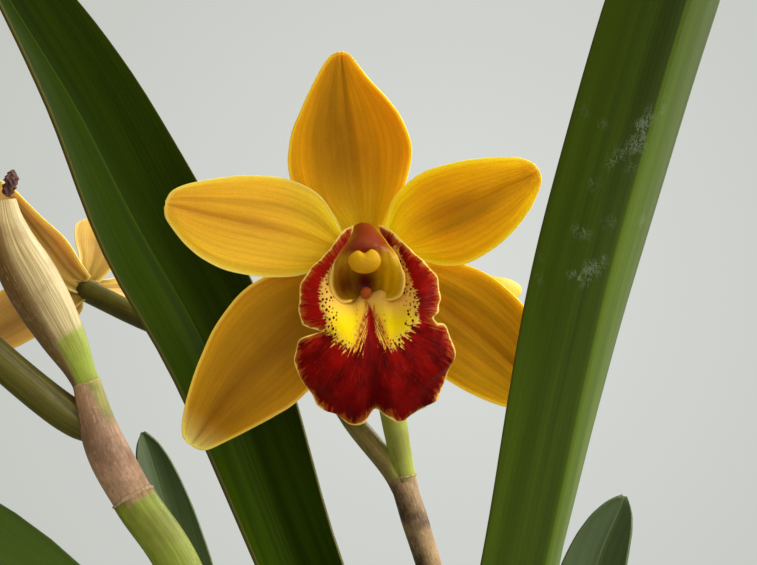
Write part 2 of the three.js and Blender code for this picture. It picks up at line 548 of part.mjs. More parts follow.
function leftSpike() {
  const stem = tube(curve(LEFT_SPIKE.stem), STEM_SIDES, 22, swelling([0.3, 0.52, 0.72], (t) => 4.1 - 1.1 * smooth(0.5, 1, t)));
  const rachis = tube(curve(LEFT_SPIKE.rachis), STEM_SIDES, 14, swelling([0.36, 0.62, 0.8], (t) => 3.3 - 1.4 * t));
  const sheath = tube(curve(LEFT_SPIKE.sheath), STEM_SIDES, 4, (t) => 3.9 - 0.8 * t);
  const budEnd = ({ base, looks }) => ({ centre: base, looks, back: 0.3 });
  const stalks = [
    stalk([-104, -73, 510.5], BLOOMS.near_left, [2.2, 2.8]),
    stalk([-124, -71.6, 560], BLOOMS.far_left, [2.1, 2.7]),
    stalk([-132.5, -69, 590], BLOOMS.upper_left, [2.1, 2.7]),
    stalk([-142, -63, 634], budEnd(BUDS.bud_top_left), [1.9, 2.2]),
    stalk([-142.6, -62.2, 636], budEnd(BUDS.bud_top_right), [1.8, 2]),
  ];
  const bracts = [
    bract([-26, -54.5, 262], [0, -0.08, 1], [-1, -0.5, 0], 36, 4.6),
    bract([-31.5, -63, 352], [-0.15, -0.1, 1], [0.7, -1, 0], 34, 4.4),
  ];
  return fuse([stem, rachis, sheath, ...stalks, ...bracts]);
}

// The seed pod that the first bloom of the left spike left behind, ribbed and straw-coloured, and its withered flower
function spentPod() {
  const swell = keyed([[0, 2.7], [0.12, 3.6], [0.3, 4.8], [0.5, 5.5], [0.68, 5.1], [0.85, 3.8], [1, 2.5]]);
  return tube(curve(LEFT_SPIKE.pod), 12, 10, (t, angle) => swell(t)[0] * (1 + 0.05 * Math.cos(6 * angle)));
}

function witheredFlower() {
  return shapedSphere(9, 6, (p) => {
    const size = 0.8 + 0.25 * Math.sin(p.x * 7 + p.y * 4) * Math.cos(p.z * 6 - p.y * 3);
    return V(-87 + 1.5 * p.x * size + 0.5 * p.y, -70 - 1.6 * p.z * size, 529.8 + 2.7 * p.y);
  });
}

// Bark: a filled disc with chips fused on its top, and holes where bulbs and stems stand in it
function barkGeometry(holes) {
  const random = seeded(11);
  const { topRadius, baseRadius, wall, floor, rimHeight, rimStep, height } = POT;
  const radiusAt = (z) => baseRadius + ((topRadius - rimStep - baseRadius) * z) / height - wall - 1.2;
  const rimBase = height - rimHeight;
  const fill = new THREE.CylinderGeometry(radiusAt(rimBase) + 0.6, radiusAt(floor) - 3.4, MIX_TOP - floor - 1, 24);
  fill.rotateX(Math.PI / 2).translate(0, 0, (MIX_TOP + floor) / 2);
  const rings = [[0, 1], [20, 5], [38, 10], [57, 15]];
  const chips = rings.flatMap(([ring, count], k) =>
    Array.from({ length: count }, (_, n) => {
      const size = 10 + 5 * random();
      const chip = new THREE.BoxGeometry(size * 1.5, size, size * 0.75);
      chip.rotateX((random() - 0.5) * 0.7).rotateY((random() - 0.5) * 0.7).rotateZ(random() * Math.PI);
      const angle = ((n + 0.5 * (k % 2) + 0.2 * random()) * 2 * Math.PI) / count;
      const reach = Math.min(ring + 3 * (random() - 0.5), radiusAt(rimBase) - size);
      return chip.translate(reach * Math.cos(angle), reach * Math.sin(angle), MIX_TOP - 1.5 + 2.5 * random());
    }),
  );
  return cut(fuse([fill, ...chips]), holes);
}

// Assembly
const root = new THREE.Group();
root.name = "potted_orchid";

function add(name, geometry, colour, roughness, parent = root) {
  const material = new THREE.MeshStandardMaterial({ color: colour, roughness, metalness: 0 });
  const mesh = new THREE.Mesh(geometry, material);
  mesh.name = name;
  parent.add(mesh);
  return mesh;
}

add("pot", potGeometry(), COLOUR.terracotta, 0.85);
Object.entries(BULBS).forEach(([name, bulb]) => add(name, bulbGeometry(bulb), COLOUR.bulb, 0.5));
Object.entries(LEAVES).forEach(([name, leaf]) => add(name, leafGeometry(leaf), COLOUR.leaf, 0.4));

const stemHoles = [MIDDLE_SPIKE, LEFT_SPIKE].map((spike) => tube(curve(spike.stem), STEM_SIDES, 22, () => 5));
const bulbHoles = Object.values(BULBS).map((bulb) => bulbGeometry(bulb, GAP * 2));
add("bark_mix", barkGeometry([...bulbHoles, ...stemHoles]), COLOUR.bark, 0.95);
add("middle_spike_stem", middleSpike(), COLOUR.stem, 0.5);
add("left_spike_stem", leftSpike(), COLOUR.stem, 0.5);
add("spent_pod", spentPod(), COLOUR.straw, 0.7);
add("withered_flower", witheredFlower(), COLOUR.withered, 0.9);

function inPlace({ looks, turn }, centre) {
  const group = new THREE.Group();
  group.applyMatrix4(turned(looks, turn).setPosition(...centre));
  root.add(group);
  return group;
}

for (const [tepal, shape] of Object.entries(BEST_BLOOM)) {
  const group = inPlace(BLOOMS.best, BLOOMS.best.centre);
  add(`best_bloom_${tepal}`, tepalGeometry(shape, 4, 10), COLOUR.tepal, 0.5, group);
}

add("best_bloom_lip", lipGeometry(1.6, 12, 22, 0.9), COLOUR.lip, 0.5, inPlace(BLOOMS.best, BLOOMS.best.centre));
add("best_bloom_column", columnGeometry(), COLOUR.column, 0.4, inPlace(BLOOMS.best, BLOOMS.best.centre));
add("best_bloom_anther_cap", capGeometry(), COLOUR.cap, 0.35, inPlace(BLOOMS.best, BLOOMS.best.centre));

function plainTepals(shapes) {
  const heart = shapedSphere(8, 4, (p) => V(3.8 * p.x, 3.8 * p.y, -1.3 + 1.1 * p.z));
  return fuse([heart, ...shapes.map((shape) => tepalGeometry(shape, 2, 7))]);
}

const plainColumn = () => fuse([columnGeometry(), capGeometry().translate(0, 0, -1.6)]);

for (const name of ["near_left", "far_left", "upper_left"]) {
  const group = inPlace(BLOOMS[name], BLOOMS[name].centre);
  const shapes = PLAIN_SPINES.map((spine, k) => ({ spine, outline: PLAIN_OUTLINE, cup: k < 3 ? 1.6 : 0.6 }));
  add(`${name}_bloom_tepals`, plainTepals(shapes), COLOUR.tepal, 0.5, group);
  add(`${name}_bloom_lip`, lipGeometry(0, 8, 10, 0), COLOUR.lip, 0.5, group);
  add(`${name}_bloom_column`, plainColumn(), COLOUR.column, 0.4, group);
}

// The half-closed bloom is one piece: its lip and column sit tight between its tepals.
const { centre, lipWay } = BLOOMS.back;
const inward = turned(lipWay.looks, lipWay.turn).scale(V(lipWay.scale, lipWay.scale, lipWay.scale)).setPosition(...centre);
const outward = turned(BLOOMS.back.looks).setPosition(...centre);
const backTepals = plainTepals(BACK_TEPALS).applyMatrix4(outward);
const backLip = lipGeometry(0, 8, 10, 0).applyMatrix4(inward);
add("back_bloom", fuse([backTepals, backLip, plainColumn().applyMatrix4(inward)]), COLOUR.tepal, 0.5);

for (const [name, { base, looks, length, radius }] of Object.entries(BUDS))
  add(name, budGeometry(length, radius), COLOUR.bud, 0.5, inPlace({ looks, turn: 0 }, base));

export default root;
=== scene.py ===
"""Looks for a potted cymbidium orchid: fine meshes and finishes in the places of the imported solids."""
from __future__ import annotations

import logging
import math
import random
from collections.abc import Callable
from dataclasses import dataclass, field
from enum import Enum

import bmesh
import bpy
import numpy as np
from mathutils import Euler, Matrix, Vector


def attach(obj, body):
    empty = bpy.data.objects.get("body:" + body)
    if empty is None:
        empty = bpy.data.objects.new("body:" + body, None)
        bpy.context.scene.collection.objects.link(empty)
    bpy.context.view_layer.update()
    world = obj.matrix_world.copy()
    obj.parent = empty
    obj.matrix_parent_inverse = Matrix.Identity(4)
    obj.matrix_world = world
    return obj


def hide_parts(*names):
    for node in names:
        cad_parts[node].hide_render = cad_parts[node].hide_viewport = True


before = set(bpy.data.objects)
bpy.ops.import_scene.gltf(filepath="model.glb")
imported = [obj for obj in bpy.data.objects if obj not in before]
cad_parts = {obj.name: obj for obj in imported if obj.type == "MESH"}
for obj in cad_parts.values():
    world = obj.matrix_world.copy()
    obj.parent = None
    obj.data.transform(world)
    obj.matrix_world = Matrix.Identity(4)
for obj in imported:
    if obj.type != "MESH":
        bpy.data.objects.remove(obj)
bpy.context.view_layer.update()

log = logging.getLogger("orchid")
Array = np.ndarray
Rows = list[list[float]]
Surface = Callable[[Array, Array], Array]
BMesh = bmesh.types.BMesh
MM = 0.001
CURVE_SAMPLES = 201
SHEET_SAMPLES = 101
EDGE_THICKNESS = 0.35
TEPAL_SQUARES = (44, 80)
LIP_SQUARES = (76, 120)
HOOD_SQUARES = (56, 64)
LEAF_SQUARES = (16, 88)
SCUFFED_LEAF_SQUARES = (56, 520)


# Numbers and curves
def smooth(low: float, high: float, x: Array) -> Array:
    """Eases from 0 at low to 1 at high.

    Args:
        low: where the answer is 0.
        high: where the answer is 1.
        x: the values to ease.
    Returns:
        The eased values.
    """
    t = np.clip((np.asarray(x, float) - low) / (high - low), 0, 1)
    return t * t * (3 - 2 * t)


def keyed(rows: Rows, share: Array, window: float = 0.0) -> Array:
    """Reads values that change along a length.

    Args:
        rows: rows of [share, value, ...].
        share: where to read.
        window: half the length over which the corners between rows are softened.
    Returns:
        One row of values for each share.
    """
    table = np.array(rows, float)
    offsets = np.linspace(-window, window, 9) if window else [0.0]
    reads = [[np.interp(share + o, table[:, 0], column) for column in table.T[1:]] for o in offsets]
    return np.mean(reads, axis=0).T


def unit(rows: Array) -> Array:
    """Gives each row of an array a length of 1."""
    return rows / np.maximum(np.linalg.norm(rows, axis=-1, keepdims=True), 1e-9)


def through(stack: Array, share: Array) -> Array:
    """Follows the centripetal Catmull-Rom curve through a stack of points, as the part's source does.

    Args:
        stack: points, or for each point one row per share.
        share: from 0 at the first point to 1 at the last.
    Returns:
        One point for each share.
    """
    if stack.ndim == 2:
        stack = np.repeat(stack[:, None, :], len(share), axis=1)
    full = np.concatenate([2 * stack[:1] - stack[1:2], stack, 2 * stack[-1:] - stack[-2:-1]])
    place = np.clip(share, 0, 1) * (len(stack) - 1)
    k = np.minimum(place.astype(int), len(stack) - 2)
    w = (place - k)[:, None]
    p0, p1, p2, p3 = (full[k + i, np.arange(len(share))] for i in range(4))
    d0, d1, d2 = (
        np.maximum(np.sum((b - a) ** 2, axis=1, keepdims=True) ** 0.25, 1e-4)
        for a, b in ((p0, p1), (p1, p2), (p2, p3))
    )
    t1 = ((p1 - p0) / d0 - (p2 - p0) / (d0 + d1) + (p2 - p1) / d1) * d1
    t2 = ((p2 - p1) / d1 - (p3 - p1) / (d1 + d2) + (p3 - p2) / d2) * d1
    return p1 + t1 * w + (3 * (p2 - p1) - 2 * t1 - t2) * w**2 + (2 * (p1 - p2) + t1 + t2) * w**3


class Curve:
    """A smooth line through points in mm."""

    def __init__(self, rows: Rows) -> None:
        """Keeps the points and measures the line."""
        self.points = np.array(rows, float)
        self.shares = np.linspace(0, 1, CURVE_SAMPLES)
        steps = np.linalg.norm(np.diff(through(self.points, self.shares), axis=0), axis=1)
        self.lengths = np.concatenate([[0], np.cumsum(steps)])
        self.length = float(self.lengths[-1])

    def at(self, share: Array) -> Array:
        """Points at shares of the length."""
        return through(self.points, np.interp(share * self.length, self.lengths, self.shares))

    def tangent(self, share: Array) -> Array:
        """Directions at shares of the length."""
        t = np.interp(share * self.length, self.lengths, self.shares)
        ahead = through(self.points, np.minimum(1, t + 1e-3))
        return unit(ahead - through(self.points, np.maximum(0, t - 1e-3)))

    def share_at(self, axis: int, value: float) -> float:
        """Share of the length at which a coordinate that only rises or falls has a value."""
        reads = self.at(self.shares)[:, axis]
        order = np.argsort(reads)
        return float(np.interp(value, reads[order], self.shares[order]))


def turned(looks: list[float], turn: float = 0.0) -> Array:
    """Axes of a bloom or bud: columns are its right, its up, and the way that it looks.

    Args:
        looks: the way that it looks.
        turn: how far it is turned about that way, in degrees.
    Returns:
        A 3 x 3 array.
    """
    z = Vector(looks).normalized()
    up = Vector((0, -1, 0)) if abs(z.z) > 0.95 else Vector((0, 0, 1))
    x = up.cross(z).normalized()
    axes = Matrix((x, z.cross(x), z)).transposed()
    return np.array(axes @ Matrix.Rotation(math.radians(turn), 3, "Z"))


# Finishes
def linear(colour: str) -> tuple[float, float, float, float]:
    """Turns an sRGB hex colour to Blender's linear colour."""
    shares = [int(colour[i : i + 2], 16) / 255 for i in (1, 3, 5)]
    return (*(c / 12.92 if c <= 0.04045 else ((c + 0.055) / 1.055) ** 2.4 for c in shares), 1.0)


MODES = {
    "Math": "operation", "VectorMath": "operation", "MixRGB": "blend_type", "MapRange": "interpolation_type",
}
GLOW_SOCKETS = ("Subsurface Weight", "Subsurface Radius", "Subsurface Scale")


class Shader:
    """The nodes of a material or a world, and the one way in which they are added."""

    def __init__(self, owner: bpy.types.Material | bpy.types.World) -> None:
        """Starts with no nodes."""
        owner.use_nodes = True
        self.owner = owner
        self.tree = owner.node_tree
        self.tree.nodes.clear()

    def add(
        self, kind: str, *inputs: object, into: dict[str, object] | None = None, **settings: object,
    ) -> bpy.types.Node:
        """Adds a node.

        Args:
            kind: the node's type without "ShaderNode", with its operation or other mode after a colon.
            inputs: a value, colour, socket or node for each socket in turn, or None to leave it.
            into: the same, by the socket's name.
            settings: the node's own settings, and stops for a ramp as (place, colour) pairs.
        Returns:
            The node.
        """
        kind, _, mode = kind.partition(":")
        node = self.tree.nodes.new("ShaderNode" + kind)
        if mode:
            setattr(node, MODES[kind], mode)
        for place, colour in settings.pop("stops", ()):
            ramp = node.color_ramp.elements
            stop = ramp[0] if place == 0 else ramp[-1] if place == 1 else ramp.new(place)
            stop.color = linear(colour)
        for key, value in settings.items():
            setattr(node, key, value)
        for socket, value in [*enumerate(inputs), *(into or {}).items()]:
            if isinstance(value, bpy.types.Node):
                value = value.outputs[0]
            if isinstance(value, bpy.types.NodeSocket):
                self.tree.links.new(value, node.inputs[socket])
            elif value is not None:
                node.inputs[socket].default_value = linear(value) if isinstance(value, str) else value
        return node

    def numbers(self, name: str) -> list[bpy.types.NodeSocket]:
        """The three numbers of an attribute."""
        vector = self.add("Attribute", attribute_name=name).outputs["Vector"]
        return list(self.add("SeparateXYZ", vector).outputs)

    def close(
        self, colour: object, roughness: object, height: object, relief: float, strength: float, gloss: float,
        ior: float = 1.5, glow: tuple = (),
    ) -> bpy.types.Material:
        """Makes the surface and sends it to the output.

        Args:
            colour: its colour.
            roughness: its roughness.
            height: the height of its fine relief.
            relief: how deep a height of 1 is, in metres.
            strength: how strongly the relief shows.
            gloss: its specular level.
            ior: its index of refraction.
            glow: share of the light that goes in, reach of red, green and blue, and their scale in metres.
        Returns:
            The material.
        """
        bump = self.add("Bump", into={"Strength": strength, "Distance": relief, "Height": height})
        surface = self.add(
            "BsdfPrincipled",
            into={
                "Base Color": colour, "Roughness": roughness, "Normal": bump, "IOR": ior,
                "Specular IOR Level": gloss, **dict(zip(GLOW_SOCKETS, glow)),
            },
        )
        self.add("OutputMaterial", surface)
        return self.owner


MADE: dict[object, bpy.types.Material] = {}


def material_of(finish: object) -> bpy.types.Material:
    """Makes the material of a finish once."""
    if finish not in MADE:
        MADE[finish] = finish.material()
    return MADE[finish]


@dataclass(frozen=True)
class LeafSkin:
    """Cymbidium leaf, grown: a waxy cuticle over parallel veins, so satin green with fine lines along it."""

    name: str
    deep: str
    light: str
    edge: str
    rib: str
    roughness: float
    gloss: float = 0.22
    vein_mm: float = 0.95
    vein_show: float = 0.05
    rib_mm: float = 0.4
    scorch: float = 1.0
    keel_shade: float = 0.0
    shadow: str = "#101800"
    dry: str = "#8A6A3A"
    dust: str = "#A8B096"
    scratch: str = "#B8C0A6"

    def material(self) -> bpy.types.Material:
        """Builds the nodes."""
        s = Shader(bpy.data.materials.new(self.name))
        add = s.add
        u, v, rim = s.numbers("blade")
        run = add("Attribute", attribute_name="run").outputs["Vector"]
        wide = add("SeparateXYZ", run)
        streak, blotch, grain, parted = (
            add("TexNoise", into={
                "Vector": add("VectorMath:MULTIPLY", run, stretch), "Scale": 1.0,
                "Detail": detail, "Roughness": rough, "Distortion": twist,
            })
            for stretch, detail, rough, twist in (
                ((0.42, 0.011, 9.0), 3.0, 0.5, 0.0),
                ((0.05, 0.016, 5.0), 2.0, 0.5, 0.0),
                ((1.2, 0.7, 3.0), 4.0, 0.65, 1.2),
                ((0.4, 0.3, 3.0), 2.0, 0.5, 0.0),
            )
        )
        tint = add("MapRange:SMOOTHSTEP", streak, 0.3, 0.72)
        colour = add("MixRGB", tint, self.deep, self.light)
        shade = add("MapRange", blotch, 0.3, 0.7, 0.88, 1.12)
        # Each leaf is a little lighter near its foot and darker towards its tip.
        darker_to_tip = add("MapRange", v, 0.62, 0.97, 1.25, 0.6)
        for change in (shade, darker_to_tip):
            colour = add("MixRGB:MULTIPLY", 1.0, colour, change)
        phase = add("Math:MULTIPLY_ADD", wide, 2 * math.pi / self.vein_mm, add("Math:MULTIPLY", streak, 2.4))
        vein = add("MapRange", add("Math:SINE", phase), -1.0, 1.0, 0.0, 1.0)
        lines = add("Math:MULTIPLY", add("Math:POWER", vein, 4.0), self.vein_show)
        midrib = add(
            "MapRange:SMOOTHSTEP", add("Math:ABSOLUTE", wide), self.rib_mm * 0.3, self.rib_mm, 0.45, 0.0,
        )
        border = add("MapRange:SMOOTHSTEP", rim, 0.1, 0.4, 0.6, 0.0)
        # Painted shade: beside the keel, one half of the blade is darkened towards the shadow colour, most at
        # the keel.
        keel_side_shade = add(
            "Math:MULTIPLY", add("MapRange", u, -0.03, 0.03),
            add("MapRange", u, 0.0, 0.8, self.keel_shade, 0.0),
        )
        scorched = add(
            "Math:MULTIPLY", add("MapRange", v, 0.975, 1.0, 0.0, self.scorch),
            add("MapRange", streak, 0.35, 0.6),
        )
        scuff = add("Attribute", attribute_name="scuff").outputs["Fac"]
        edge_of = add("MapRange", scuff, 0.0, 1.0, 0.8, 0.5)
        dust = add("MapRange", add("Math:SUBTRACT", grain, edge_of), 0.0, 0.12, 0.0, 0.4)
        middle = add("Math:ABSOLUTE", add("Math:SUBTRACT", grain, 0.5))
        hair = add("MapRange", middle, 0.004, 0.02, 0.7, 0.0)
        hair = add("Math:MULTIPLY", hair, add("MapRange", scuff, 0.25, 0.9))
        hair = add("Math:MULTIPLY", hair, add("MapRange", parted, 0.44, 0.56))
        for share, tint in (
            (lines, self.rib), (midrib, self.rib), (border, self.edge), (keel_side_shade, self.shadow),
            (scorched, self.dry), (dust, self.dust), (hair, self.scratch),
        ):
            colour = add("MixRGB", share, colour, tint)
        height = add("Math:MULTIPLY_ADD", vein, 0.5, add("Math:MULTIPLY", grain, 0.5))
        rough = add("MapRange", blotch, 0.3, 0.7, self.roughness - 0.05, self.roughness + 0.08)
        return s.close(
            colour, rough, height, relief=0.00006, strength=0.4, gloss=self.gloss, ior=1.45,
            glow=(0.06, (0.4, 1.0, 0.1), 0.0006),
        )


@dataclass(frozen=True)
class PetalSkin:
    """Cymbidium tepal, grown: thick and waxy, so light from behind glows in it and its veins show faintly."""

    name: str
    base: str = "#D8A800"
    body: str = "#F2A800"
    tip: str = "#FFBE10"
    blush_and_shade: str = "#A86000"
    blush_and_shade_share: float = 0.35
    # How far the blush moves off the middle; moved, it lays painted shade on one half.
    blush_and_shade_side: float = 0.0
    # How strongly painted shade darkens the crease down the middle.
    fold: float = 0.25
    rim: str = "#FFD24A"
    veins: int = 17

    def material(self) -> bpy.types.Material:
        """Builds the nodes."""
        s = Shader(bpy.data.materials.new(self.name))
        add = s.add
        u, v, rim = s.numbers("blade")
        run = add("Attribute", attribute_name="run").outputs["Vector"]
        _, far, seed = add("SeparateXYZ", run).outputs
        cloud = add(
            "TexNoise",
            into={
                "Vector": add("VectorMath:MULTIPLY", run, (0.09, 0.045, 7.0)), "Scale": 1.0, "Detail": 3.0,
                "Roughness": 0.55,
            },
        )
        fan = add(
            "CombineXYZ", add("Math:MULTIPLY", u, 5.0), add("Math:MULTIPLY", far, 0.025),
            add("Math:MULTIPLY", seed, 7.0),
        )
        streak = add("TexNoise", into={"Vector": fan, "Scale": 1.0, "Detail": 4.0, "Roughness": 0.6})
        colour = add(
            "ValToRGB", v, stops=((0, self.base), (0.3, self.body), (0.72, self.body), (1, self.tip)),
        )
        # The blush is partly the tepal's own brownish blush and partly painted shade: moved off the middle,
        # it darkens the half of a tepal that stands in shade.
        inner = add(
            "MapRange:SMOOTHSTEP", add("Math:ABSOLUTE", add("Math:SUBTRACT", u, self.blush_and_shade_side)), 0.1, 1.0,
            1.0, 0.0,
        )
        reach = add(
            "Math:MULTIPLY", add("MapRange:SMOOTHSTEP", v, 0.05, 0.4),
            add("MapRange:SMOOTHSTEP", v, 0.7, 0.97, 1.0, 0.0),
        )
        mask = add(
            "Math:MULTIPLY", add("Math:MULTIPLY", inner, reach), add("MapRange", cloud, 0.3, 0.62, 0.4, 1.2),
        )
        colour = add(
            "MixRGB", add("Math:MULTIPLY", mask, self.blush_and_shade_share, use_clamp=True), colour, self.blush_and_shade,
        )
        bands = add("MapRange", streak, 0.36, 0.64, 0.86, 1.1)
        colour = add("MixRGB:MULTIPLY", 1.0, colour, bands)
        wave = add(
            "Math:SINE", add("Math:MULTIPLY_ADD", u, self.veins * math.pi, add("Math:MULTIPLY", cloud, 5.0)),
        )
        vein = add("Math:POWER", add("MapRange", wave, -1.0, 1.0, 0.0, 1.0), 5.0)
        patchy = add("MapRange", streak, 0.4, 0.6, 0.03, 0.14)
        colour = add(
            "MixRGB",
            add("Math:MULTIPLY", add("Math:MULTIPLY", vein, patchy), add("MapRange", v, 0.7, 1.0, 1.0, 0.2)),
            colour, self.blush_and_shade,
        )
        # Painted shade along the crease down the tepal's middle, darkened towards the tepal's darker colour.
        middle = add("MapRange:SMOOTHSTEP", add("Math:ABSOLUTE", u), 0.0, 0.16, 1.0, 0.0)
        fold = add("Math:MULTIPLY", middle, add("MapRange", v, 0.1, 0.5, 0.0, self.fold))
        colour = add("MixRGB", fold, colour, self.blush_and_shade)
        border = add("MapRange:SMOOTHSTEP", rim, 0.15, 0.9, 0.5, 0.0)
        colour = add("MixRGB", border, colour, self.rim)
        place = add("TexCoord").outputs["Object"]
        cells = add("TexNoise", into={"Vector": place, "Scale": 2600.0, "Detail": 2.0})
        fine = add("MapRange", cells, 0.3, 0.7, 0.95, 1.04)
        colour = add("MixRGB:MULTIPLY", 1.0, colour, fine)
        height = add("Math:MULTIPLY_ADD", vein, -0.35, add("Math:MULTIPLY", cells, 0.45))
        return s.close(
            colour, 0.5, height, relief=0.0001, strength=0.5, gloss=0.12, ior=1.4,
            glow=(0.8, (1.0, 0.8, 0.1), 0.0018),
        )


@dataclass(frozen=True)
class LipSkin:
    """Cymbidium lip, grown: velvety streaked red with a thin pale hem, and a waxy, spotted yellow throat."""

    name: str
    red: str = "#9C0A03"
    deep: str = "#4C0201"
    bright: str = "#AC1408"
    fleck: str = "#B43A30"
    orange: str = "#BE641C"
    hem: str = "#FFD870"
    throat: str = "#FFDC06"
    throat_side: str = "#F2B860"
    spot: str = "#5C0604"
    flush: str = "#E07A10"

    def material(self) -> bpy.types.Material:
        """Builds the nodes. The fan attribute holds mm round the throat and mm from its middle."""
        s = Shader(bpy.data.materials.new(self.name))
        add = s.add
        inside, streak, rim = s.numbers("zone")
        front = add("Attribute", attribute_name="front").outputs["Vector"]
        fan = add("Attribute", attribute_name="fan").outputs["Vector"]
        x, y, _ = add("SeparateXYZ", front).outputs
        soft, rays, fine, hairs = (
            add("TexNoise", into={
                "Vector": add("VectorMath:MULTIPLY", fan, (round_mm, out_mm, 1.0)), "Scale": 1.0,
                "Detail": detail, "Roughness": rough,
            })
            for round_mm, out_mm, detail, rough in (
                (0.34, 0.16, 4.0, 0.6), (1.5, 0.16, 4.0, 0.65), (2.6, 1.5, 4.0, 0.65), (2.6, 0.5, 3.0, 0.6),
            )
        )
        velvet = add("MixRGB", add("MapRange", soft, 0.34, 0.62), self.deep, self.red)
        ray = add("MapRange", rays, 0.5, 0.74, 0.0, 0.35)
        # Painted light: the side lobes are brightened red, most on the left lobe, which faces the light.
        lit_lobes = add(
            "Math:MULTIPLY", add("MapRange:SMOOTHSTEP", y, -15.5, -12.0),
            add("MapRange", x, -8.0, 9.0, 0.7, 0.15),
        )
        low = add("MapRange", y, -22.0, -29.0, 0.0, 0.5)
        lit = add(
            "Math:MULTIPLY", add("MapRange", hairs, 0.56, 0.7, 0.0, 0.32),
            add("MapRange", y, -29.0, -22.0, 0.25, 1.0),
        )
        # Painted shade in the groove of the midlobe's pleats.
        valley_shade = add(
            "MapRange:SMOOTHSTEP", add("Math:ABSOLUTE", add("Math:ADD", x, -1.5)), 0.2, 2.2, 0.75, 0.0,
        )
        valley_shade = add("Math:MULTIPLY", valley_shade, add("MapRange", y, -16.0, -21.0, 0.0, 1.0))
        for share, tint in (
            (ray, self.bright), (lit_lobes, self.bright), (low, self.deep),
            (lit, self.fleck), (valley_shade, self.deep),
        ):
            velvet = add("MixRGB", share, velvet, tint)
        tongue = add("MapRange", add("MixRGB", 0.5, rays, hairs), 0.38, 0.62, 0.3, 2.4)
        reach = add("Math:DIVIDE", rim, tongue)
        band = add("MapRange:SMOOTHSTEP", reach, 0.2, 1.3, 0.85, 0.0)
        colour = add("MixRGB", band, velvet, self.orange)
        hem_wide = add("MapRange", rays, 0.36, 0.64, 0.25, 0.6)
        thin = add("MapRange:SMOOTHSTEP", add("Math:DIVIDE", rim, hem_wide), 0.6, 1.3, 1.0, 0.0)
        colour = add("MixRGB", thin, colour, self.hem)
        teeth = add(
            "Math:MULTIPLY", add("MapRange", rays, 0.34, 0.66, -1.5, 1.3),
            add("MapRange", y, -15.5, -12.0, 1.0, 0.3),
        )
        edge = add("Math:ADD", inside, add("Math:ADD", teeth, add("MapRange", fine, 0.3, 0.7, -0.35, 0.35)))
        throat = add("MapRange", edge, -0.1, 0.14)
        aside = add("MapRange:SMOOTHSTEP", y, -14.0, -8.0, 0.0, 0.8)
        border = add("MapRange", edge, 0.0, 1.8, 0.75, 0.0)
        yellow = add("MixRGB", add("Math:MAXIMUM", aside, border), self.throat, self.throat_side)
        flat = add("VectorMath:MULTIPLY", front, (1.5, 1.12, 0.0))
        cells = add(
            "TexVoronoi", into={"Vector": flat, "Scale": 1.0, "Randomness": 0.8}, voronoi_dimensions="2D",
        )
        big = add("MapRange", add("SeparateColor", cells.outputs["Color"]).outputs[0], 0.0, 1.0, 0.14, 0.38)
        dot = add("MapRange", add("Math:SUBTRACT", big, cells), 0.0, 0.06)
        wide = add("MapRange", y, -15.0, -9.0, 1.7, 3.0)
        ring = add(
            "Math:MULTIPLY", add("MapRange", edge, 0.0, 0.3),
            add("MapRange", add("Math:DIVIDE", inside, wide), 0.8, 1.0, 1.0, 0.0),
        )
        apart = add("Math:ABSOLUTE", add("Math:ADD", x, -1.0))
        ring = add("Math:MULTIPLY", ring, add("MapRange", apart, 2.4, 3.4))
        yellow = add("MixRGB", add("Math:MULTIPLY", dot, ring), yellow, self.spot)
        wander = add("MapRange", fine, 0.3, 0.7, -0.2, 0.2)
        line = add("MapRange", add("Math:ADD", streak, wander), 0.02, 0.28, 1.0, 0.0)
        yellow = add("MixRGB", line, yellow, self.spot)
        flush = add("MapRange:SMOOTHSTEP", streak, 0.0, 1.0, 0.45, 0.0)
        flush = add("Math:MULTIPLY", flush, add("MapRange", inside, 0.0, 0.5))
        yellow = add("MixRGB", flush, yellow, self.flush)
        colour = add("MixRGB", throat, colour, yellow)
        height = add("Math:MULTIPLY_ADD", fine, 0.7, add("Math:MULTIPLY", rays, 0.8))
        return s.close(
            colour, 0.55, height, relief=0.00025, strength=0.5, gloss=0.06, ior=1.4,
            glow=(0.25, (1.0, 0.4, 0.05), 0.0008),
        )


@dataclass(frozen=True)
class WaxySkin:
    """Waxy flower tissue, grown: one soft colour drifting into a second, under a faint gloss."""

    name: str
    first: str
    second: str
    third: str
    patch_mm: float
    roughness: float = 0.36
    glow: float = 0.25
    relief_mm: float = 0.05
    hem: str = "#F0CC60"

    def material(self) -> bpy.types.Material:
        """Builds the nodes."""
        s = Shader(bpy.data.materials.new(self.name))
        add = s.add
        tone = s.numbers("tone")
        place = add("TexCoord").outputs["Object"]
        cloud = add("TexNoise", into={"Vector": place, "Scale": 1 / (self.patch_mm * MM), "Detail": 3.0})
        drift = add("Math:MULTIPLY_ADD", add("Math:SUBTRACT", cloud, 0.5), 0.35, tone[0])
        colour = add("MixRGB", add("MapRange", drift, 0.0, 1.0), self.first, self.second)
        dark = add("Math:MULTIPLY_ADD", add("Math:SUBTRACT", cloud, 0.5), 0.3, tone[1])
        colour = add("MixRGB", add("MapRange", dark, 0.0, 1.0), colour, self.third)
        colour = add("MixRGB", add("Math:MULTIPLY", tone[2], 0.6, use_clamp=True), colour, self.hem)
        fine = add("TexNoise", into={"Vector": place, "Scale": 3200.0, "Detail": 2.0})
        colour = add("MixRGB:MULTIPLY", 1.0, colour, add("MapRange", fine, 0.3, 0.7, 0.93, 1.06))
        return s.close(
            colour, self.roughness, fine, relief=self.relief_mm * MM, strength=0.6, gloss=0.18, ior=1.42,
            glow=(self.glow, (1.0, 0.5, 0.05), 0.001),
        )


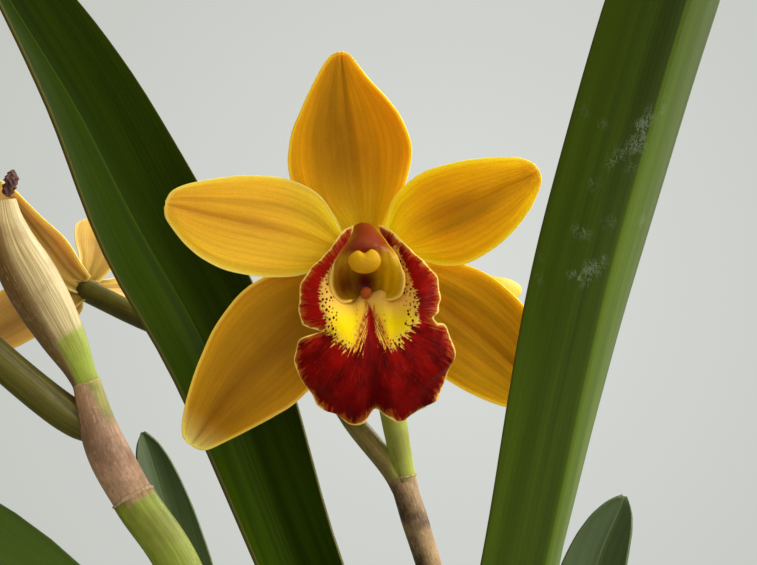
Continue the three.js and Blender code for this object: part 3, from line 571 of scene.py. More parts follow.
@dataclass(frozen=True)
class StemSkin:
    """Flower stem, grown: fine lines along it under a thin wax, or a dry papery sheath over it."""

    name: str
    body: str
    light: str
    dark: str
    blotch: float
    roughness: float
    line_mm: float = 0.7
    blotch_mm: float = 9.0
    relief_mm: float = 0.07
    # The stems' own browning, and on the pod a painted shade.
    brown_and_shade: str = "#B08A68"
    purple: str = "#6A4444"
    young: str = "#B4BE44"
    light_crack: str = "#D2B492"

    def material(self) -> bpy.types.Material:
        """Builds the nodes. Run holds mm round and along, tone the brown, purple and young shares."""
        s = Shader(bpy.data.materials.new(self.name))
        add = s.add
        run = add("Attribute", attribute_name="run").outputs["Vector"]
        place = add("TexCoord").outputs["Object"]
        lines, fleck, crack = (
            add("TexNoise", into={
                "Vector": add("VectorMath:MULTIPLY", run, stretch), "Scale": 1.0,
                "Detail": detail, "Roughness": rough, "Distortion": twist,
            })
            for stretch, detail, rough, twist in (
                ((1 / self.line_mm, 0.05, 3.0), 3.0, 0.6, 0.0),
                ((1.5, 0.35, 3.0), 4.0, 0.7, 0.0),
                ((1.9, 0.6, 5.0), 5.0, 0.75, 0.8),
            )
        )
        cloud = add(
            "TexNoise",
            into={"Vector": place, "Scale": 1 / (self.blotch_mm * MM), "Detail": 4.0, "Roughness": 0.6},
        )
        tone = s.numbers("tone")
        colour = add("MixRGB", add("MapRange", lines, 0.34, 0.66), self.body, self.light)
        streaky = add("MapRange", lines, 0.36, 0.64, 0.78, 1.14)
        for share, tint in ((tone[2], self.young), (tone[0], self.brown_and_shade)):
            colour = add("MixRGB", share, colour, add("MixRGB:MULTIPLY", 1.0, tint, streaky))
        mottle = add("MapRange", cloud, 0.36, 0.6, 0.35, 1.2)
        colour = add("MixRGB", add("Math:MULTIPLY", tone[1], mottle, use_clamp=True), colour, self.purple)
        patch = add("MapRange:SMOOTHSTEP", cloud, 0.42, 0.66, 0.0, self.blotch)
        flecks = add("MapRange", fleck, 0.58, 0.74, 0.0, 0.5 * self.blotch)
        pale = add("Math:MULTIPLY", tone[0], add("MapRange", crack, 0.55, 0.66, 0.0, 0.5))
        dull = add("Math:MULTIPLY", tone[0], add("MapRange", crack, 0.47, 0.36, 0.0, 0.5))
        for share, tint in (
            (patch, self.dark), (flecks, self.dark), (pale, self.light_crack), (dull, self.purple),
        ):
            colour = add("MixRGB", share, colour, tint)
        height = add("Math:MULTIPLY_ADD", lines, 0.7, add("Math:MULTIPLY", fleck, 0.5))
        return s.close(
            colour, self.roughness, height, relief=self.relief_mm * MM, strength=0.7, gloss=0.3, ior=1.45,
            glow=(0.08, (0.8, 1.0, 0.1), 0.0008),
        )


@dataclass(frozen=True)
class Terracotta:
    """Terracotta, thrown and fired unglazed: matt orange-brown with turning lines, pores and pale salt."""

    name: str = "terracotta_fired"
    clay: str = "#B4653C"
    light: str = "#C98059"
    dark: str = "#8E4A2B"
    salt: str = "#D9C4B0"

    def material(self) -> bpy.types.Material:
        """Builds the nodes."""
        s = Shader(bpy.data.materials.new(self.name))
        add = s.add
        place = add("TexCoord").outputs["Object"]
        height = add("SeparateXYZ", place).outputs["Z"]
        cloud = add("TexNoise", into={"Vector": place, "Scale": 16.0, "Detail": 6.0, "Roughness": 0.62})
        pores = add("TexNoise", into={"Vector": place, "Scale": 900.0, "Detail": 3.0, "Roughness": 0.7})
        rings = add(
            "TexNoise",
            into={
                "Vector": add("VectorMath:MULTIPLY", place, (6.0, 6.0, 420.0)), "Scale": 1.0, "Detail": 3.0,
            },
        )
        colour = add("MixRGB", add("MapRange", cloud, 0.34, 0.66), self.clay, self.light)
        colour = add("MixRGB", add("MapRange", rings, 0.52, 0.75, 0.0, 0.35), colour, self.dark)
        low = add("MapRange:SMOOTHSTEP", height, 0.0, 0.05, 1.0, 0.1)
        high = add("MapRange:SMOOTHSTEP", height, 0.118, 0.126, 0.0, 0.45)
        bloom = add("Math:MULTIPLY", add("Math:MAXIMUM", low, high), add("MapRange", cloud, 0.47, 0.68))
        colour = add("MixRGB", add("Math:MULTIPLY", bloom, 0.8), colour, self.salt)
        colour = add("MixRGB", add("MapRange", pores, 0.62, 0.72, 0.0, 0.5), colour, self.dark)
        relief = add("Math:MULTIPLY_ADD", rings, 0.8, add("Math:MULTIPLY", pores, 0.5))
        return s.close(colour, 0.86, relief, relief=0.0003, strength=0.7, gloss=0.3)


@dataclass(frozen=True)
class BarkSkin:
    """Fir bark, chipped and damp: red-brown corky layers, darker in their pores, matt."""

    name: str = "fir_bark_chips"
    dark: str = "#2E1C12"
    body: str = "#5A3A24"
    light: str = "#8C6240"

    def material(self) -> bpy.types.Material:
        """Builds the nodes."""
        s = Shader(bpy.data.materials.new(self.name))
        add = s.add
        place = add("TexCoord").outputs["Object"]
        tone = s.numbers("tone")[0]
        cloud = add("TexNoise", into={"Vector": place, "Scale": 95.0, "Detail": 6.0, "Roughness": 0.7})
        layers = add(
            "TexNoise",
            into={
                "Vector": add("VectorMath:MULTIPLY", place, (180.0, 180.0, 900.0)), "Scale": 1.0,
                "Detail": 3.0,
            },
        )
        mixed = add("Math:MULTIPLY_ADD", add("Math:SUBTRACT", cloud, 0.5), 1.3, tone)
        colour = add("ValToRGB", mixed, stops=((0, self.dark), (0.5, self.body), (1, self.light)))
        colour = add("MixRGB", add("MapRange", layers, 0.5, 0.7, 0.0, 0.6), colour, self.dark)
        height = add("Math:ADD", cloud, layers)
        return s.close(colour, 0.9, height, relief=0.0008, strength=0.9, gloss=0.25)


@dataclass(frozen=True)
class PlainBoard:
    """Painted board, rolled: pale, matt and even, so that nothing in it draws the eye from the plant."""

    name: str = "studio_board"
    paint: str = "#B4B5B1"

    def material(self) -> bpy.types.Material:
        """Builds the nodes."""
        s = Shader(bpy.data.materials.new(self.name))
        add = s.add
        place = add("TexCoord").outputs["Object"]
        grain = add("TexNoise", into={"Vector": place, "Scale": 300.0, "Detail": 2.0})
        return s.close(self.paint, 0.9, grain, relief=0.0004, strength=0.1, gloss=0.2)


# The upper side's deep greens are partly the leaf's own darker upper face and partly painted shade, as dark
# as the leaf behind the best bloom stands in shade.
LEAF_UPPER = LeafSkin("leaf_upper_cuticle", "#1C2A00", "#263600", "#443612", "#3A4E06", 0.5, 0.03)
LEAF_UNDER = LeafSkin(
    "leaf_under_cuticle", "#3E5002", "#4C6008", "#54441C", "#5A6E18", 0.42, 0.2, keel_shade=0.4,
)
LEAF_YOUNG = LeafSkin("leaf_young_cuticle", "#4A5E30", "#586C3A", "#55603A", "#66784A", 0.5, 0.3, scorch=0.0)
LEAF_LOW = LeafSkin("leaf_low_cuticle", "#3E5410", "#4A6016", "#55603A", "#5C7026", 0.5, 0.12)
BULB_SKIN = StemSkin("pseudobulb_skin", "#62782A", "#869644", "#5C5A24", 0.4, 0.45, 1.6, 14.0, 0.25)
PAPER_SKIN = StemSkin("dry_leaf_sheath", "#A98A5E", "#CDB48A", "#6E4E2E", 0.7, 0.8, 0.9, 8.0, 0.25)
SPIKE_SKIN = StemSkin(
    "flower_spike_skin", "#6E7A14", "#8E9832", "#5E4C1E", 0.3, 0.45, 0.6, 7.0, 0.08, "#C29A74", "#664238",
    "#94A034",
)
# Its purple, a dark brown here, is also the painted shade down the stem's left side.
MIDDLE_SKIN = StemSkin(
    "middle_spike_skin", "#626A14", "#848A30", "#5E4C1E", 0.3, 0.45, 0.6, 7.0, 0.08, "#AA8C62", "#3C2818",
    "#9CA444",
)
BRANCH_SKIN = StemSkin("flower_branch_skin", "#464200", "#605A10", "#3C2A14", 0.45, 0.5, 0.6, 6.0, 0.08)
RIM_PAPER = StemSkin("sheath_torn_rim", "#9A8056", "#C8B284", "#7A5C40", 0.4, 0.7, 0.5, 3.0, 0.08)
# Its brown is the painted shade down the pod's left side.
POD_SKIN = StemSkin(
    "seed_pod_straw", "#94804E", "#D0C08C", "#75592C", 0.35, 0.5, 0.34, 7.0, 0.2, "#604818", "#4C3818",
    "#90A034",
)
WITHERED_SKIN = StemSkin("withered_tepals", "#5A3E3C", "#80605A", "#24161C", 0.7, 0.8, 0.6, 2.5, 0.3)
LIP_FRONT = LipSkin("lip_velvet")
LIP_BACK = PetalSkin("lip_back", "#C9A030", "#B8742A", "#B4642A", "#8E3A1E", 0.5)
# The column's second colour serves its pink top and the painted shade down its left side; its third is
# painted shade only.
COLUMN_SKIN = WaxySkin("column_wax", "#DCAC04", "#8E3414", "#5E0E02", 5.0, 0.34, 0.2)
CAP_SKIN = WaxySkin("anther_cap_wax", "#DCAA0A", "#C88A02", "#7A5A0A", 4.0, 0.34, 0.3)
KNOB_SKIN = WaxySkin("callus_wax", "#A8501A", "#8E3410", "#7E1A0A", 3.0, 0.34, 0.3)
BUD_SKIN = WaxySkin("bud_wax", "#D2AE1C", "#8E9A22", "#8A5A1C", 12.0, 0.45, 0.35)


class Slot(Enum):
    """The record's finishes."""

    TERRACOTTA = "terracotta"
    BARK = "bark"
    BULB = "bulb"
    LEAF = "leaf"
    STEM = "stem"
    POD = "pod"
    WITHERED = "withered"
    PETAL = "petal"
    LIP = "lip"
    COLUMN = "column"
    CAP = "anther_cap"
    BUD = "bud"


# Meshes
def note(bm: BMesh, name: str, values: Array) -> None:
    """Writes an attribute of three numbers on each vertex."""
    layer = bm.verts.layers.float_vector.get(name) or bm.verts.layers.float_vector.new(name)
    for vert, value in zip(bm.verts, values):
        vert[layer] = value


def read(bm: BMesh, name: str) -> Array:
    """Reads an attribute of three numbers from each vertex."""
    layer = bm.verts.layers.float_vector[name]
    return np.array([vert[layer] for vert in bm.verts])


def place(bm: BMesh, points: Array) -> None:
    """Moves each vertex to its point, given in mm."""
    for vert, point in zip(bm.verts, points * MM):
        vert.co = point


def rim_gap(bm: BMesh, points: Array) -> Array:
    """Measures how far each vertex is from the open edge of a sheet.

    Args:
        bm: the sheet.
        points: its vertices in mm.
    Returns:
        The distance of each vertex in mm.
    """
    rim = points[[v.index for v in bm.verts if v.is_boundary]]
    return np.linalg.norm(points[:, None, :] - rim[None, :, :], axis=2).min(axis=1)


def sheet(across: int, along: int, surface: Surface, seed: float = 0.0, even: bool = False) -> BMesh:
    """A thin grown sheet, such as a leaf or petal, as a grid that surface bends.

    Args:
        across: squares across.
        along: squares along.
        surface: gives a point in mm for u from -1 to 1 across and v from 0 to 1 along.
        seed: its own number for its patterns.
        even: keeps the squares the same width, where otherwise they are narrower at the edges.
    Returns:
        The mesh, with the attributes blade (u, v, mm from the edge) and run (mm across, mm along, seed).
    """
    bm = bmesh.new()
    bmesh.ops.create_grid(bm, x_segments=across, y_segments=along, size=1.0)
    flat = np.array([v.co for v in bm.verts])
    u = flat[:, 0] if even else np.sin(flat[:, 0] * np.pi / 2)
    v = (flat[:, 1] + 1) / 2
    v = v if even else v - 0.1 * np.sin(2 * np.pi * v)
    points = surface(u, v)
    place(bm, points)
    bm.verts.index_update()
    shares = np.linspace(0, 1, SHEET_SAMPLES)
    middle = surface(np.zeros(SHEET_SAMPLES), shares)
    lengths = np.concatenate([[0], np.cumsum(np.linalg.norm(np.diff(middle, axis=0), axis=1))])
    half = np.linalg.norm(surface(np.where(u < 0, -1.0, 1.0), v) - surface(np.zeros_like(v), v), axis=1)
    note(bm, "blade", np.stack([u, v, rim_gap(bm, points)], 1))
    far = np.interp(v, shares, lengths)
    note(bm, "run", np.stack([u * half, far, np.full_like(u, seed)], 1))
    return bm


def pipe(
    path: Curve, sides: int, steps: int, radius: Surface, span: tuple[float, float] = (0, 1),
    seed: float = 0.0,
) -> BMesh:
    """A closed tube: a circle extruded step by step, then bent along a curve.

    Args:
        path: the middle line.
        sides: vertices round it.
        steps: lengths along it.
        radius: the radius in mm for the share along the whole path and the angle round it.
        span: the part of the path that is used.
        seed: its own number for its patterns.
    Returns:
        The mesh, with the attribute run (mm round, mm along, seed).
    """
    bm = bmesh.new()
    bmesh.ops.create_circle(bm, cap_ends=False, segments=sides, radius=1.0)
    edges = list(bm.edges)
    for _ in range(steps):
        made = bmesh.ops.extrude_edge_only(bm, edges=edges)["geom"]
        fresh = {g for g in made if isinstance(g, bmesh.types.BMVert)}
        edges = [g for g in made if isinstance(g, bmesh.types.BMEdge) and set(g.verts) <= fresh]
        bmesh.ops.translate(bm, vec=(0, 0, 1), verts=list(fresh))
    bmesh.ops.holes_fill(bm, edges=[e for e in bm.edges if e.is_boundary], sides=sides)
    flat = np.array([v.co for v in bm.verts])
    level = np.rint(flat[:, 2]).astype(int)
    shares = span[0] + (span[1] - span[0]) * np.arange(steps + 1) / steps
    centres, ways = path.at(shares), path.tangent(shares)
    side = np.array([0.31, 0.95, 0.05])
    normals = []
    for way in ways:
        side = side - way * (side @ way)
        side = side / np.linalg.norm(side)
        normals.append(side)
    normals = np.array(normals)
    others = np.cross(ways, normals)
    angle = np.arctan2(flat[:, 1], flat[:, 0])
    size = radius(shares[level], angle)
    out = np.cos(angle)[:, None] * normals[level] + np.sin(angle)[:, None] * others[level]
    place(bm, centres[level] + out * size[:, None])
    round_mm = angle * np.mean(size)
    note(bm, "run", np.stack([round_mm, shares[level] * path.length, np.full_like(size, seed)], 1))
    bmesh.ops.recalc_face_normals(bm, faces=bm.faces)
    return bm


def blob(
    detail: int, shape: Callable[[Array], Array], tone: Callable[[Array], Array] | None = None,
) -> BMesh:
    """A closed round body: an icosphere that shape bends.

    Args:
        detail: how often the icosphere is divided.
        shape: turns unit directions to points in mm.
        tone: gives the three numbers of the tone attribute for unit directions.
    Returns:
        The mesh.
    """
    bm = bmesh.new()
    bmesh.ops.create_icosphere(bm, subdivisions=detail, radius=1.0)
    ways = np.array([v.co for v in bm.verts])
    place(bm, shape(ways))
    note(bm, "tone", tone(ways) if tone else np.zeros_like(ways))
    note(bm, "run", ways * np.array([6.0, 6.0, 12.0])[None, :])
    bmesh.ops.recalc_face_normals(bm, faces=bm.faces)
    return bm


def joined(meshes: list[BMesh]) -> BMesh:
    """Puts meshes in one."""
    whole = bmesh.new()
    for bm in meshes:
        part = bpy.data.meshes.new("part")
        bm.to_mesh(part)
        bm.free()
        whole.from_mesh(part)
        bpy.data.meshes.remove(part)
    return whole


def hand_over(
    name: str,
    bm: BMesh,
    finishes: list[object],
    slot: Slot,
    nodes: list[str],
    thickness: float = 0.0,
    rounds: int = 0,
    thin_edge_mm: float = 0.0,
) -> bpy.types.Object:
    """Makes an object of a mesh, finishes it and tells the frame about it.

    Args:
        name: the piece's name.
        bm: its mesh in metres.
        finishes: its finishes; a sheet's second one is for its back and its edge.
        slot: the record's finish that it takes its look from; not used.
        nodes: the solids that it stands for.
        thickness: a sheet's thickness in mm.
        rounds: how often it is subdivided.
        thin_edge_mm: how far in from the edge a sheet gets thinner.
    Returns:
        The object.
    """
    mesh = bpy.data.meshes.new(name)
    piece = bpy.data.objects.new(name, mesh)
    if thickness and thin_edge_mm:
        group = piece.vertex_groups.new(name="thickness")
        deform = bm.verts.layers.deform.verify()
        blade = bm.verts.layers.float_vector["blade"]
        for vert in bm.verts:
            full = float(smooth(0, thin_edge_mm, vert[blade].z))
            vert[deform][group.index] = EDGE_THICKNESS + (1 - EDGE_THICKNESS) * full
    bm.to_mesh(mesh)
    bm.free()
    mesh.polygons.foreach_set("use_smooth", [True] * len(mesh.polygons))
    for finish in finishes:
        mesh.materials.append(material_of(finish))
    bpy.context.scene.collection.objects.link(piece)
    if thickness:
        wall = piece.modifiers.new("thickness", "SOLIDIFY")
        wall.thickness = thickness * MM
        wall.offset = 0.0
        wall.use_quality_normals = True
        if len(finishes) > 1:
            wall.material_offset = 1
            wall.material_offset_rim = 1
        if thin_edge_mm:
            wall.vertex_group = "thickness"
    if rounds:
        finer = piece.modifiers.new("rounding", "SUBSURF")
        finer.levels = finer.render_levels = rounds
    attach(piece, "root")
    if nodes:
        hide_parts(*nodes)
    log.info("%s: %d faces before its modifiers", name, len(mesh.polygons))
    return piece


# Pot and what is in it
@dataclass
class Pot:
    """The clay pot: body, collar and rim, turned as one, with four drain holes."""

    height: float = 150
    top_radius: float = 80
    base_radius: float = 56
    wall: float = 5
    floor: float = 8
    rim_height: float = 24
    rim_step: float = 4
    drain_radius: float = 5
    drain_ring: float = 30
    drains: int = 4

    def body_radius(self, z: float) -> float:
        """Outer radius of the body at a height."""
        return self.base_radius + (self.top_radius - self.rim_step - self.base_radius) * z / self.height

    def profile(self) -> Rows:
        """Half the pot's section, from the middle of its foot round to the middle of its floor."""
        rim_base, high, floor = self.height - self.rim_height, self.height, self.floor
        top, base = self.top_radius, self.base_radius
        throat, inside = top - self.wall, base - self.wall
        outer = [[self.body_radius(z), z] for z in np.linspace(3, rim_base - 4, 9)]
        inner = [[self.body_radius(z) - self.wall, z] for z in np.linspace(rim_base - 6, floor + 8, 7)]
        return [
            [0, 1.2], [base - 12, 1.2], [base - 10, 0], [base - 2, 0], [base - 0.4, 0.8], *outer,
            [self.body_radius(rim_base) + 0.4, rim_base - 1.5], [top - 1.6, rim_base],
            [top - 0.3, rim_base + 1.2], [top, rim_base + 3], [top, high - 5], [top - 0.6, high - 1.8],
            [top - 2.4, high - 0.2], [throat, high - 0.3], [throat - 2, high - 2.4], [throat - 3.2, high - 8],
            *inner, [inside - 2, floor + 1.4], [inside - 6, floor], [0, floor],
        ]

    def build(self) -> None:
        """Spins the section, then bores the drain holes."""
        bm = bmesh.new()
        verts = [bm.verts.new((r * MM, 0, z * MM)) for r, z in self.profile()]
        edges = [bm.edges.new(pair) for pair in zip(verts, verts[1:])]
        bmesh.ops.spin(
            bm, geom=[*verts, *edges], cent=(0, 0, 0), axis=(0, 0, 1), angle=2 * math.pi, steps=112,
            use_merge=True,
        )
        bmesh.ops.remove_doubles(bm, verts=bm.verts, dist=1e-6)
        bmesh.ops.recalc_face_normals(bm, faces=bm.faces)
        drills = bmesh.new()
        for k in range(self.drains):
            angle = (k + 0.5) * 2 * math.pi / self.drains
            spot = Matrix.Translation(Vector((math.cos(angle), math.sin(angle), 0)) * self.drain_ring * MM)
            bmesh.ops.create_cone(
                drills, cap_ends=True, segments=32, radius1=self.drain_radius * MM,
                radius2=self.drain_radius * MM, depth=4 * self.floor * MM, matrix=spot,
            )
        drill_mesh = bpy.data.meshes.new("drills")
        drills.to_mesh(drill_mesh)
        drills.free()
        drill = bpy.data.objects.new("drills", drill_mesh)
        blank_mesh = bpy.data.meshes.new("blank")
        bm.to_mesh(blank_mesh)
        bm.free()
        blank = bpy.data.objects.new("blank", blank_mesh)
        for thing in (drill, blank):
            bpy.context.scene.collection.objects.link(thing)
        bore = blank.modifiers.new("bore", "BOOLEAN")
        bore.object = drill
        bore.solver = "EXACT"
        bpy.context.view_layer.update()
        bored = bmesh.new()
        bored.from_mesh(blank.evaluated_get(bpy.context.evaluated_depsgraph_get()).data)
        for thing in (drill, blank):
            bpy.data.objects.remove(thing)
        pot = hand_over("pot_fired", bored, [Terracotta()], Slot.TERRACOTTA, ["pot"])
        pot.data.set_sharp_from_angle(angle=math.radians(50))


# Middle x and y, radii along x and y, height of foot and tip, in mm.
BULBS = {
    "bulb_front": (2, -32, 15, 17, 118, 193),
    "bulb_right": (38, 10, 16, 15, 118, 186),
    "bulb_left": (-38, 12, 16, 15, 118, 184),
    "bulb_back": (0, 44, 15, 14, 118, 176),
}


@dataclass
class Bulb:
    """A pseudobulb: an egg-shaped swollen stem with ribs, wrapped low down in dry leaf bases."""

    name: str
    x: float
    y: float
    rx: float
    ry: float
    bottom: float
    top: float
    wraps: int = 5

    def skin(self, ways: Array) -> Array:
        """Points on the bulb's skin for unit directions."""
        half = (self.top - self.bottom) / 2
        height = ways[:, 2]
        angle = np.arctan2(ways[:, 1], ways[:, 0])
        rib = 1 + 0.03 * np.cos(6 * angle) + 0.008 * np.cos(25 * angle + 1)
        swell = (1 - 0.2 * height) * rib
        return np.stack([
            self.x + ways[:, 0] * self.rx * swell,
            self.y + ways[:, 1] * self.ry * swell,
            self.bottom + half * (1 + height),
        ], 1)

    def build(self, seed: int) -> None:
        """Makes the bulb and its dry wraps."""
        chance = random.Random(seed)
        hand_over(f"{self.name}_skin", blob(5, self.skin), [BULB_SKIN], Slot.BULB, [self.name])
        wraps = []
        for k in range(self.wraps):
            middle = 2 * math.pi * (k + 0.3 * chance.random()) / self.wraps
            top = 0.1 + 0.55 * chance.random() - 0.12 * (k % 2)
            lift = 0.7 + 0.45 * (k % 3)
            wobble = chance.random() * 6

            def surface(u: Array, v: Array) -> Array:
                """A pointed wrap that clasps the bulb."""
                width = 0.95 * (1 - v**2.2) + 0.02
                height = -0.55 + (top + 0.55) * v
                angle = middle + u * width + 0.1 * np.sin(5 * v + wobble)
                flat = np.sqrt(np.maximum(0.0, 1 - height**2))
                ways = np.stack([flat * np.cos(angle), flat * np.sin(angle), height], 1)
                return self.skin(ways) + ways * (lift + 1.3 * v**3 + 0.35 * np.sin(7 * u + wobble))[:, None]

            wraps.append(sheet(10, 14, surface, seed=k + seed))
        hand_over(f"{self.name}_wraps", joined(wraps), [PAPER_SKIN], Slot.BULB, [], thickness=0.45)


@dataclass
class BarkBed:
    """The bark mix that fills the pot: a hummocky bed with loose chips on it."""

    top: float = 136
    radius: float = 67.5
    chips: int = 330
    spread: float = 64
    edge: float = 68
    dip: float = 2.5
    dip_from: float = 55
    seed: int = 11
    holes: list[tuple[float, float, float]] = field(default_factory=list)

    def build(self) -> None:
        """Makes the bed, then strews the chips."""
        chance = random.Random(self.seed)
        bm = bmesh.new()
        bmesh.ops.create_circle(bm, cap_ends=False, segments=72, radius=1.0)
        rim = list(bm.edges)
        for share in (0.88, 0.76, 0.64, 0.52, 0.4, 0.28, 0.16):
            made = bmesh.ops.extrude_edge_only(bm, edges=rim)["geom"]
            fresh = [g for g in made if isinstance(g, bmesh.types.BMVert)]
            rim = [g for g in made if isinstance(g, bmesh.types.BMEdge) and set(g.verts) <= set(fresh)]
            for vert in fresh:
                vert.co = vert.co.normalized() * share
        bmesh.ops.holes_fill(bm, edges=rim, sides=72)
        outer = [e for e in bm.edges if e.is_boundary]
        made = bmesh.ops.extrude_edge_only(bm, edges=outer)["geom"]
        fresh = [g for g in made if isinstance(g, bmesh.types.BMVert)]
        bmesh.ops.translate(bm, vec=(0, 0, -1), verts=fresh)
        bmesh.ops.holes_fill(bm, edges=[e for e in bm.edges if e.is_boundary], sides=72)
        flat = np.array([v.co for v in bm.verts])
        angle = np.arctan2(flat[:, 1], flat[:, 0])
        reach = np.linalg.norm(flat[:, :2], axis=1)
        hump = 1.6 * np.sin(5 * angle + 9 * reach) * np.sin(8 * reach) - 1.5
        low = flat[:, 2] < -0.5
        size = np.where(low, 48.0, self.radius)
        place(bm, np.stack([
            flat[:, 0] * size, flat[:, 1] * size, np.where(low, 9.0, self.top - 1 + hump - 3 * reach**4),
        ], 1))
        note(bm, "tone", np.full((len(flat), 3), 0.18))
        bmesh.ops.recalc_face_normals(bm, faces=bm.faces)
        hand_over("bark_bed", bm, [BarkSkin()], Slot.BARK, ["bark_mix"])
        chips = bmesh.new()
        tone = chips.verts.layers.float_vector.new("tone")
        laid = 0
        while laid < self.chips:
            reach = self.spread * math.sqrt(chance.random())
            way = 2 * math.pi * chance.random()
            x, y = reach * math.cos(way), reach * math.sin(way)
            long = 7 + 9 * chance.random()
            level = self.top + 0.5 + 3.5 * chance.random() - (self.dip if reach > self.dip_from else 0)
            turn = [chance.uniform(-0.45, 0.45), chance.uniform(-0.45, 0.45), chance.uniform(0, math.pi)]
            shade = 0.2 + 0.6 * chance.random()
            jitter = [chance.uniform(0.72, 1.15) for _ in range(24)]
            in_a_hole = any(math.hypot(x - a, y - b) < r + 0.3 * long for a, b, r in self.holes)
            if reach + 0.45 * long > self.edge or in_a_hole:
                continue
            size = (long * MM, long * chance.uniform(0.5, 0.8) * MM, long * chance.uniform(0.2, 0.34) * MM)
            spin = Euler(turn).to_matrix().to_4x4()
            fresh = bmesh.ops.create_cube(chips, size=1.0)["verts"]
            edges = list({e for v in fresh for e in v.link_edges})
            bevelled = bmesh.ops.bevel(
                chips, geom=edges, offset=0.17, offset_type="OFFSET", segments=1, profile=0.5, affect="EDGES",
                material=-1,
            )
            faces = {f for v in bevelled["verts"] for f in v.link_faces}
            verts = sorted({v for f in faces for v in f.verts}, key=lambda v: v.index if v.index >= 0 else 0)
            for k, vert in enumerate(verts):
                vert.co = vert.co * jitter[k % 24]
                vert[tone] = (shade, 0, 0)
            bmesh.ops.scale(chips, vec=size, verts=verts)
            bmesh.ops.transform(
                chips, matrix=Matrix.Translation((x * MM, y * MM, level * MM)) @ spin, verts=verts,
            )
            laid += 1
        faces = hand_over("bark_chips", chips, [BarkSkin()], Slot.BARK, []).data.polygons
        faces.foreach_set("use_smooth", [False] * len(faces))


# Leaves
# Scratches: share along the leaf, place across it, half length, half width and strength.
SCUFFS = [
    [0.773, 0.35, 0.006, 0.12, 0.9], [0.78, 0.13, 0.013, 0.16, 0.8], [0.789, 0.1, 0.009, 0.1, 0.7],
    [0.797, -0.15, 0.008, 0.15, 0.6], [0.788, 0.85, 0.004, 0.1, 0.6], [0.76, 0.5, 0.004, 0.12, 0.7],
    [0.74, 0.5, 0.004, 0.16, 0.9], [0.7465, 0.175, 0.004, 0.14, 0.7], [0.7495, -0.55, 0.004, 0.2, 0.7],
    [0.721, 0.43, 0.004, 0.16, 0.9], [0.725, 0.28, 0.005, 0.14, 1], [0.731, 0.15, 0.004, 0.1, 0.8],
    [0.725, 0.92, 0.003, 0.07, 0.8], [0.716, 0.9, 0.004, 0.1, 0.7], [0.785, 0.6, 0.003, 0.1, 0.7],
]
# Rows of spine hold points in mm; those of face, half and fold start with a share of the length.
SPINED_LEAVES: dict[str, dict[str, object]] = {
    "leaf_01": {
        "foot": (-2, -3.5, -14),
        "spine": [
            [6, -25, 197], [9, -28, 250], [4, -33, 330], [-10, -36, 395], [-33.7, -34, 450.2],
            [-51.9, -31, 495.6], [-67.5, -25, 522.4], [-81.6, -16, 547.9], [-97.5, -6, 572.2], [-112, 2, 594],
            [-126, 10, 614],
        ],
        "face": [
            [0, 0, -1, 0], [0.4, 0.1, -0.98, 0], [0.57, 0.36, -0.93, 0.1], [0.72, 0.5, -0.86, 0.1],
            [0.88, 0.78, -0.62, 0.1], [1, 0.8, -0.6, 0.2],
        ],
        "half": [
            [0, 6.5], [0.3, 9], [0.57, 11.6], [0.68, 15.6], [0.74, 16.8], [0.88, 15], [0.95, 9], [1, 0.3],
        ],
        "fold": [[0, 48], [0.57, 42], [0.72, 33], [1, 33]],
    },
    "leaf_02": {
        "foot": (2.5, 4, -14),
        "spine": [
            [-3, -40, 197], [-7, -50, 250], [-6, -66, 330], [4, -77, 400], [16.4, -85, 456.6],
            [22.5, -91, 488.1], [26.8, -95, 508.6], [32.8, -99, 532.4], [40.5, -105, 560.9], [51, -111, 594],
            [63, -117, 626],
        ],
        "face": [
            [0, 0, 1, 0], [0.4, -0.3, 0.95, 0], [0.6, -0.5, 0.86, 0.1], [0.72, -0.42, 0.9, 0.1],
            [0.84, -0.34, 0.93, 0.1], [1, -0.3, 0.93, 0.1],
        ],
        "half": [[0, 6.5], [0.3, 9.5], [0.6, 12.4], [0.72, 14.4], [0.86, 14.6], [0.93, 10.5], [1, 0.3]],
        "fold": [[0, 48], [0.6, 42], [1, 42]], "scuffs": SCUFFS, "crease": 0.03,
    },
    "leaf_03": {
        "spine": [
            [-21, -30, 146], [-21.5, -33, 200], [-25, -40, 290], [-44.5, -50, 374], [-84.5, -60, 445],
            [-128, -66, 470], [-178, -76, 470], [-222, -84, 446],
        ],
        "face": [[0, 1, -0.1, 0], [0.5, 0.3, -0.9, 0.3], [1, 0.2, -0.3, 0.9]],
        "half": [[0, 6], [0.3, 10], [0.55, 14], [0.8, 11.5], [0.93, 6], [1, 0.3]],
        "skins": (LEAF_LOW, LEAF_LOW),
    },
    "leaf_06": {
        "foot": (2, -3, -14),
        "spine": [
            [34, 16, 188], [31, 34, 260], [30, 55, 340], [34, 70, 395], [41.5, 79, 434], [50, 84, 453.5],
        ],
        "face": [[0, 0, -1, 0], [0.6, 0, -1, 0.2], [1, -0.2, -1, 0.3]],
        "half": [
            [0, 5], [0.3, 8], [0.7, 10.8], [0.82, 10.8], [0.88, 10.3], [0.92, 9.2], [0.95, 7.7], [0.97, 6.2],
            [0.985, 4.3], [0.993, 2.7], [0.998, 1.2], [1, 0.15],
        ],
        "skins": (LEAF_YOUNG, LEAF_YOUNG), "window": 0.003,
    },
    "leaf_11": {
        "foot": (-1.5, -2, -14),
        "spine": [
            [-35, 16, 188], [-38, 38, 270], [-50, 62, 350], [-61, 78, 410], [-70, 86, 445], [-78, 90, 470],
        ],
        "face": [[0, 0, -1, 0], [0.5, 0.2, -1, 0.2], [1, 0.3, -1, 0.3]],
        "half": [
            [0, 5], [0.4, 8.5], [0.7, 10], [0.82, 9.3], [0.88, 8.3], [0.92, 7.2], [0.95, 6], [0.97, 4.9],
            [0.985, 3.5], [0.993, 2.2], [0.998, 1], [1, 0.15],
        ],
        "skins": (LEAF_YOUNG, LEAF_YOUNG), "window": 0.003,
    },
}

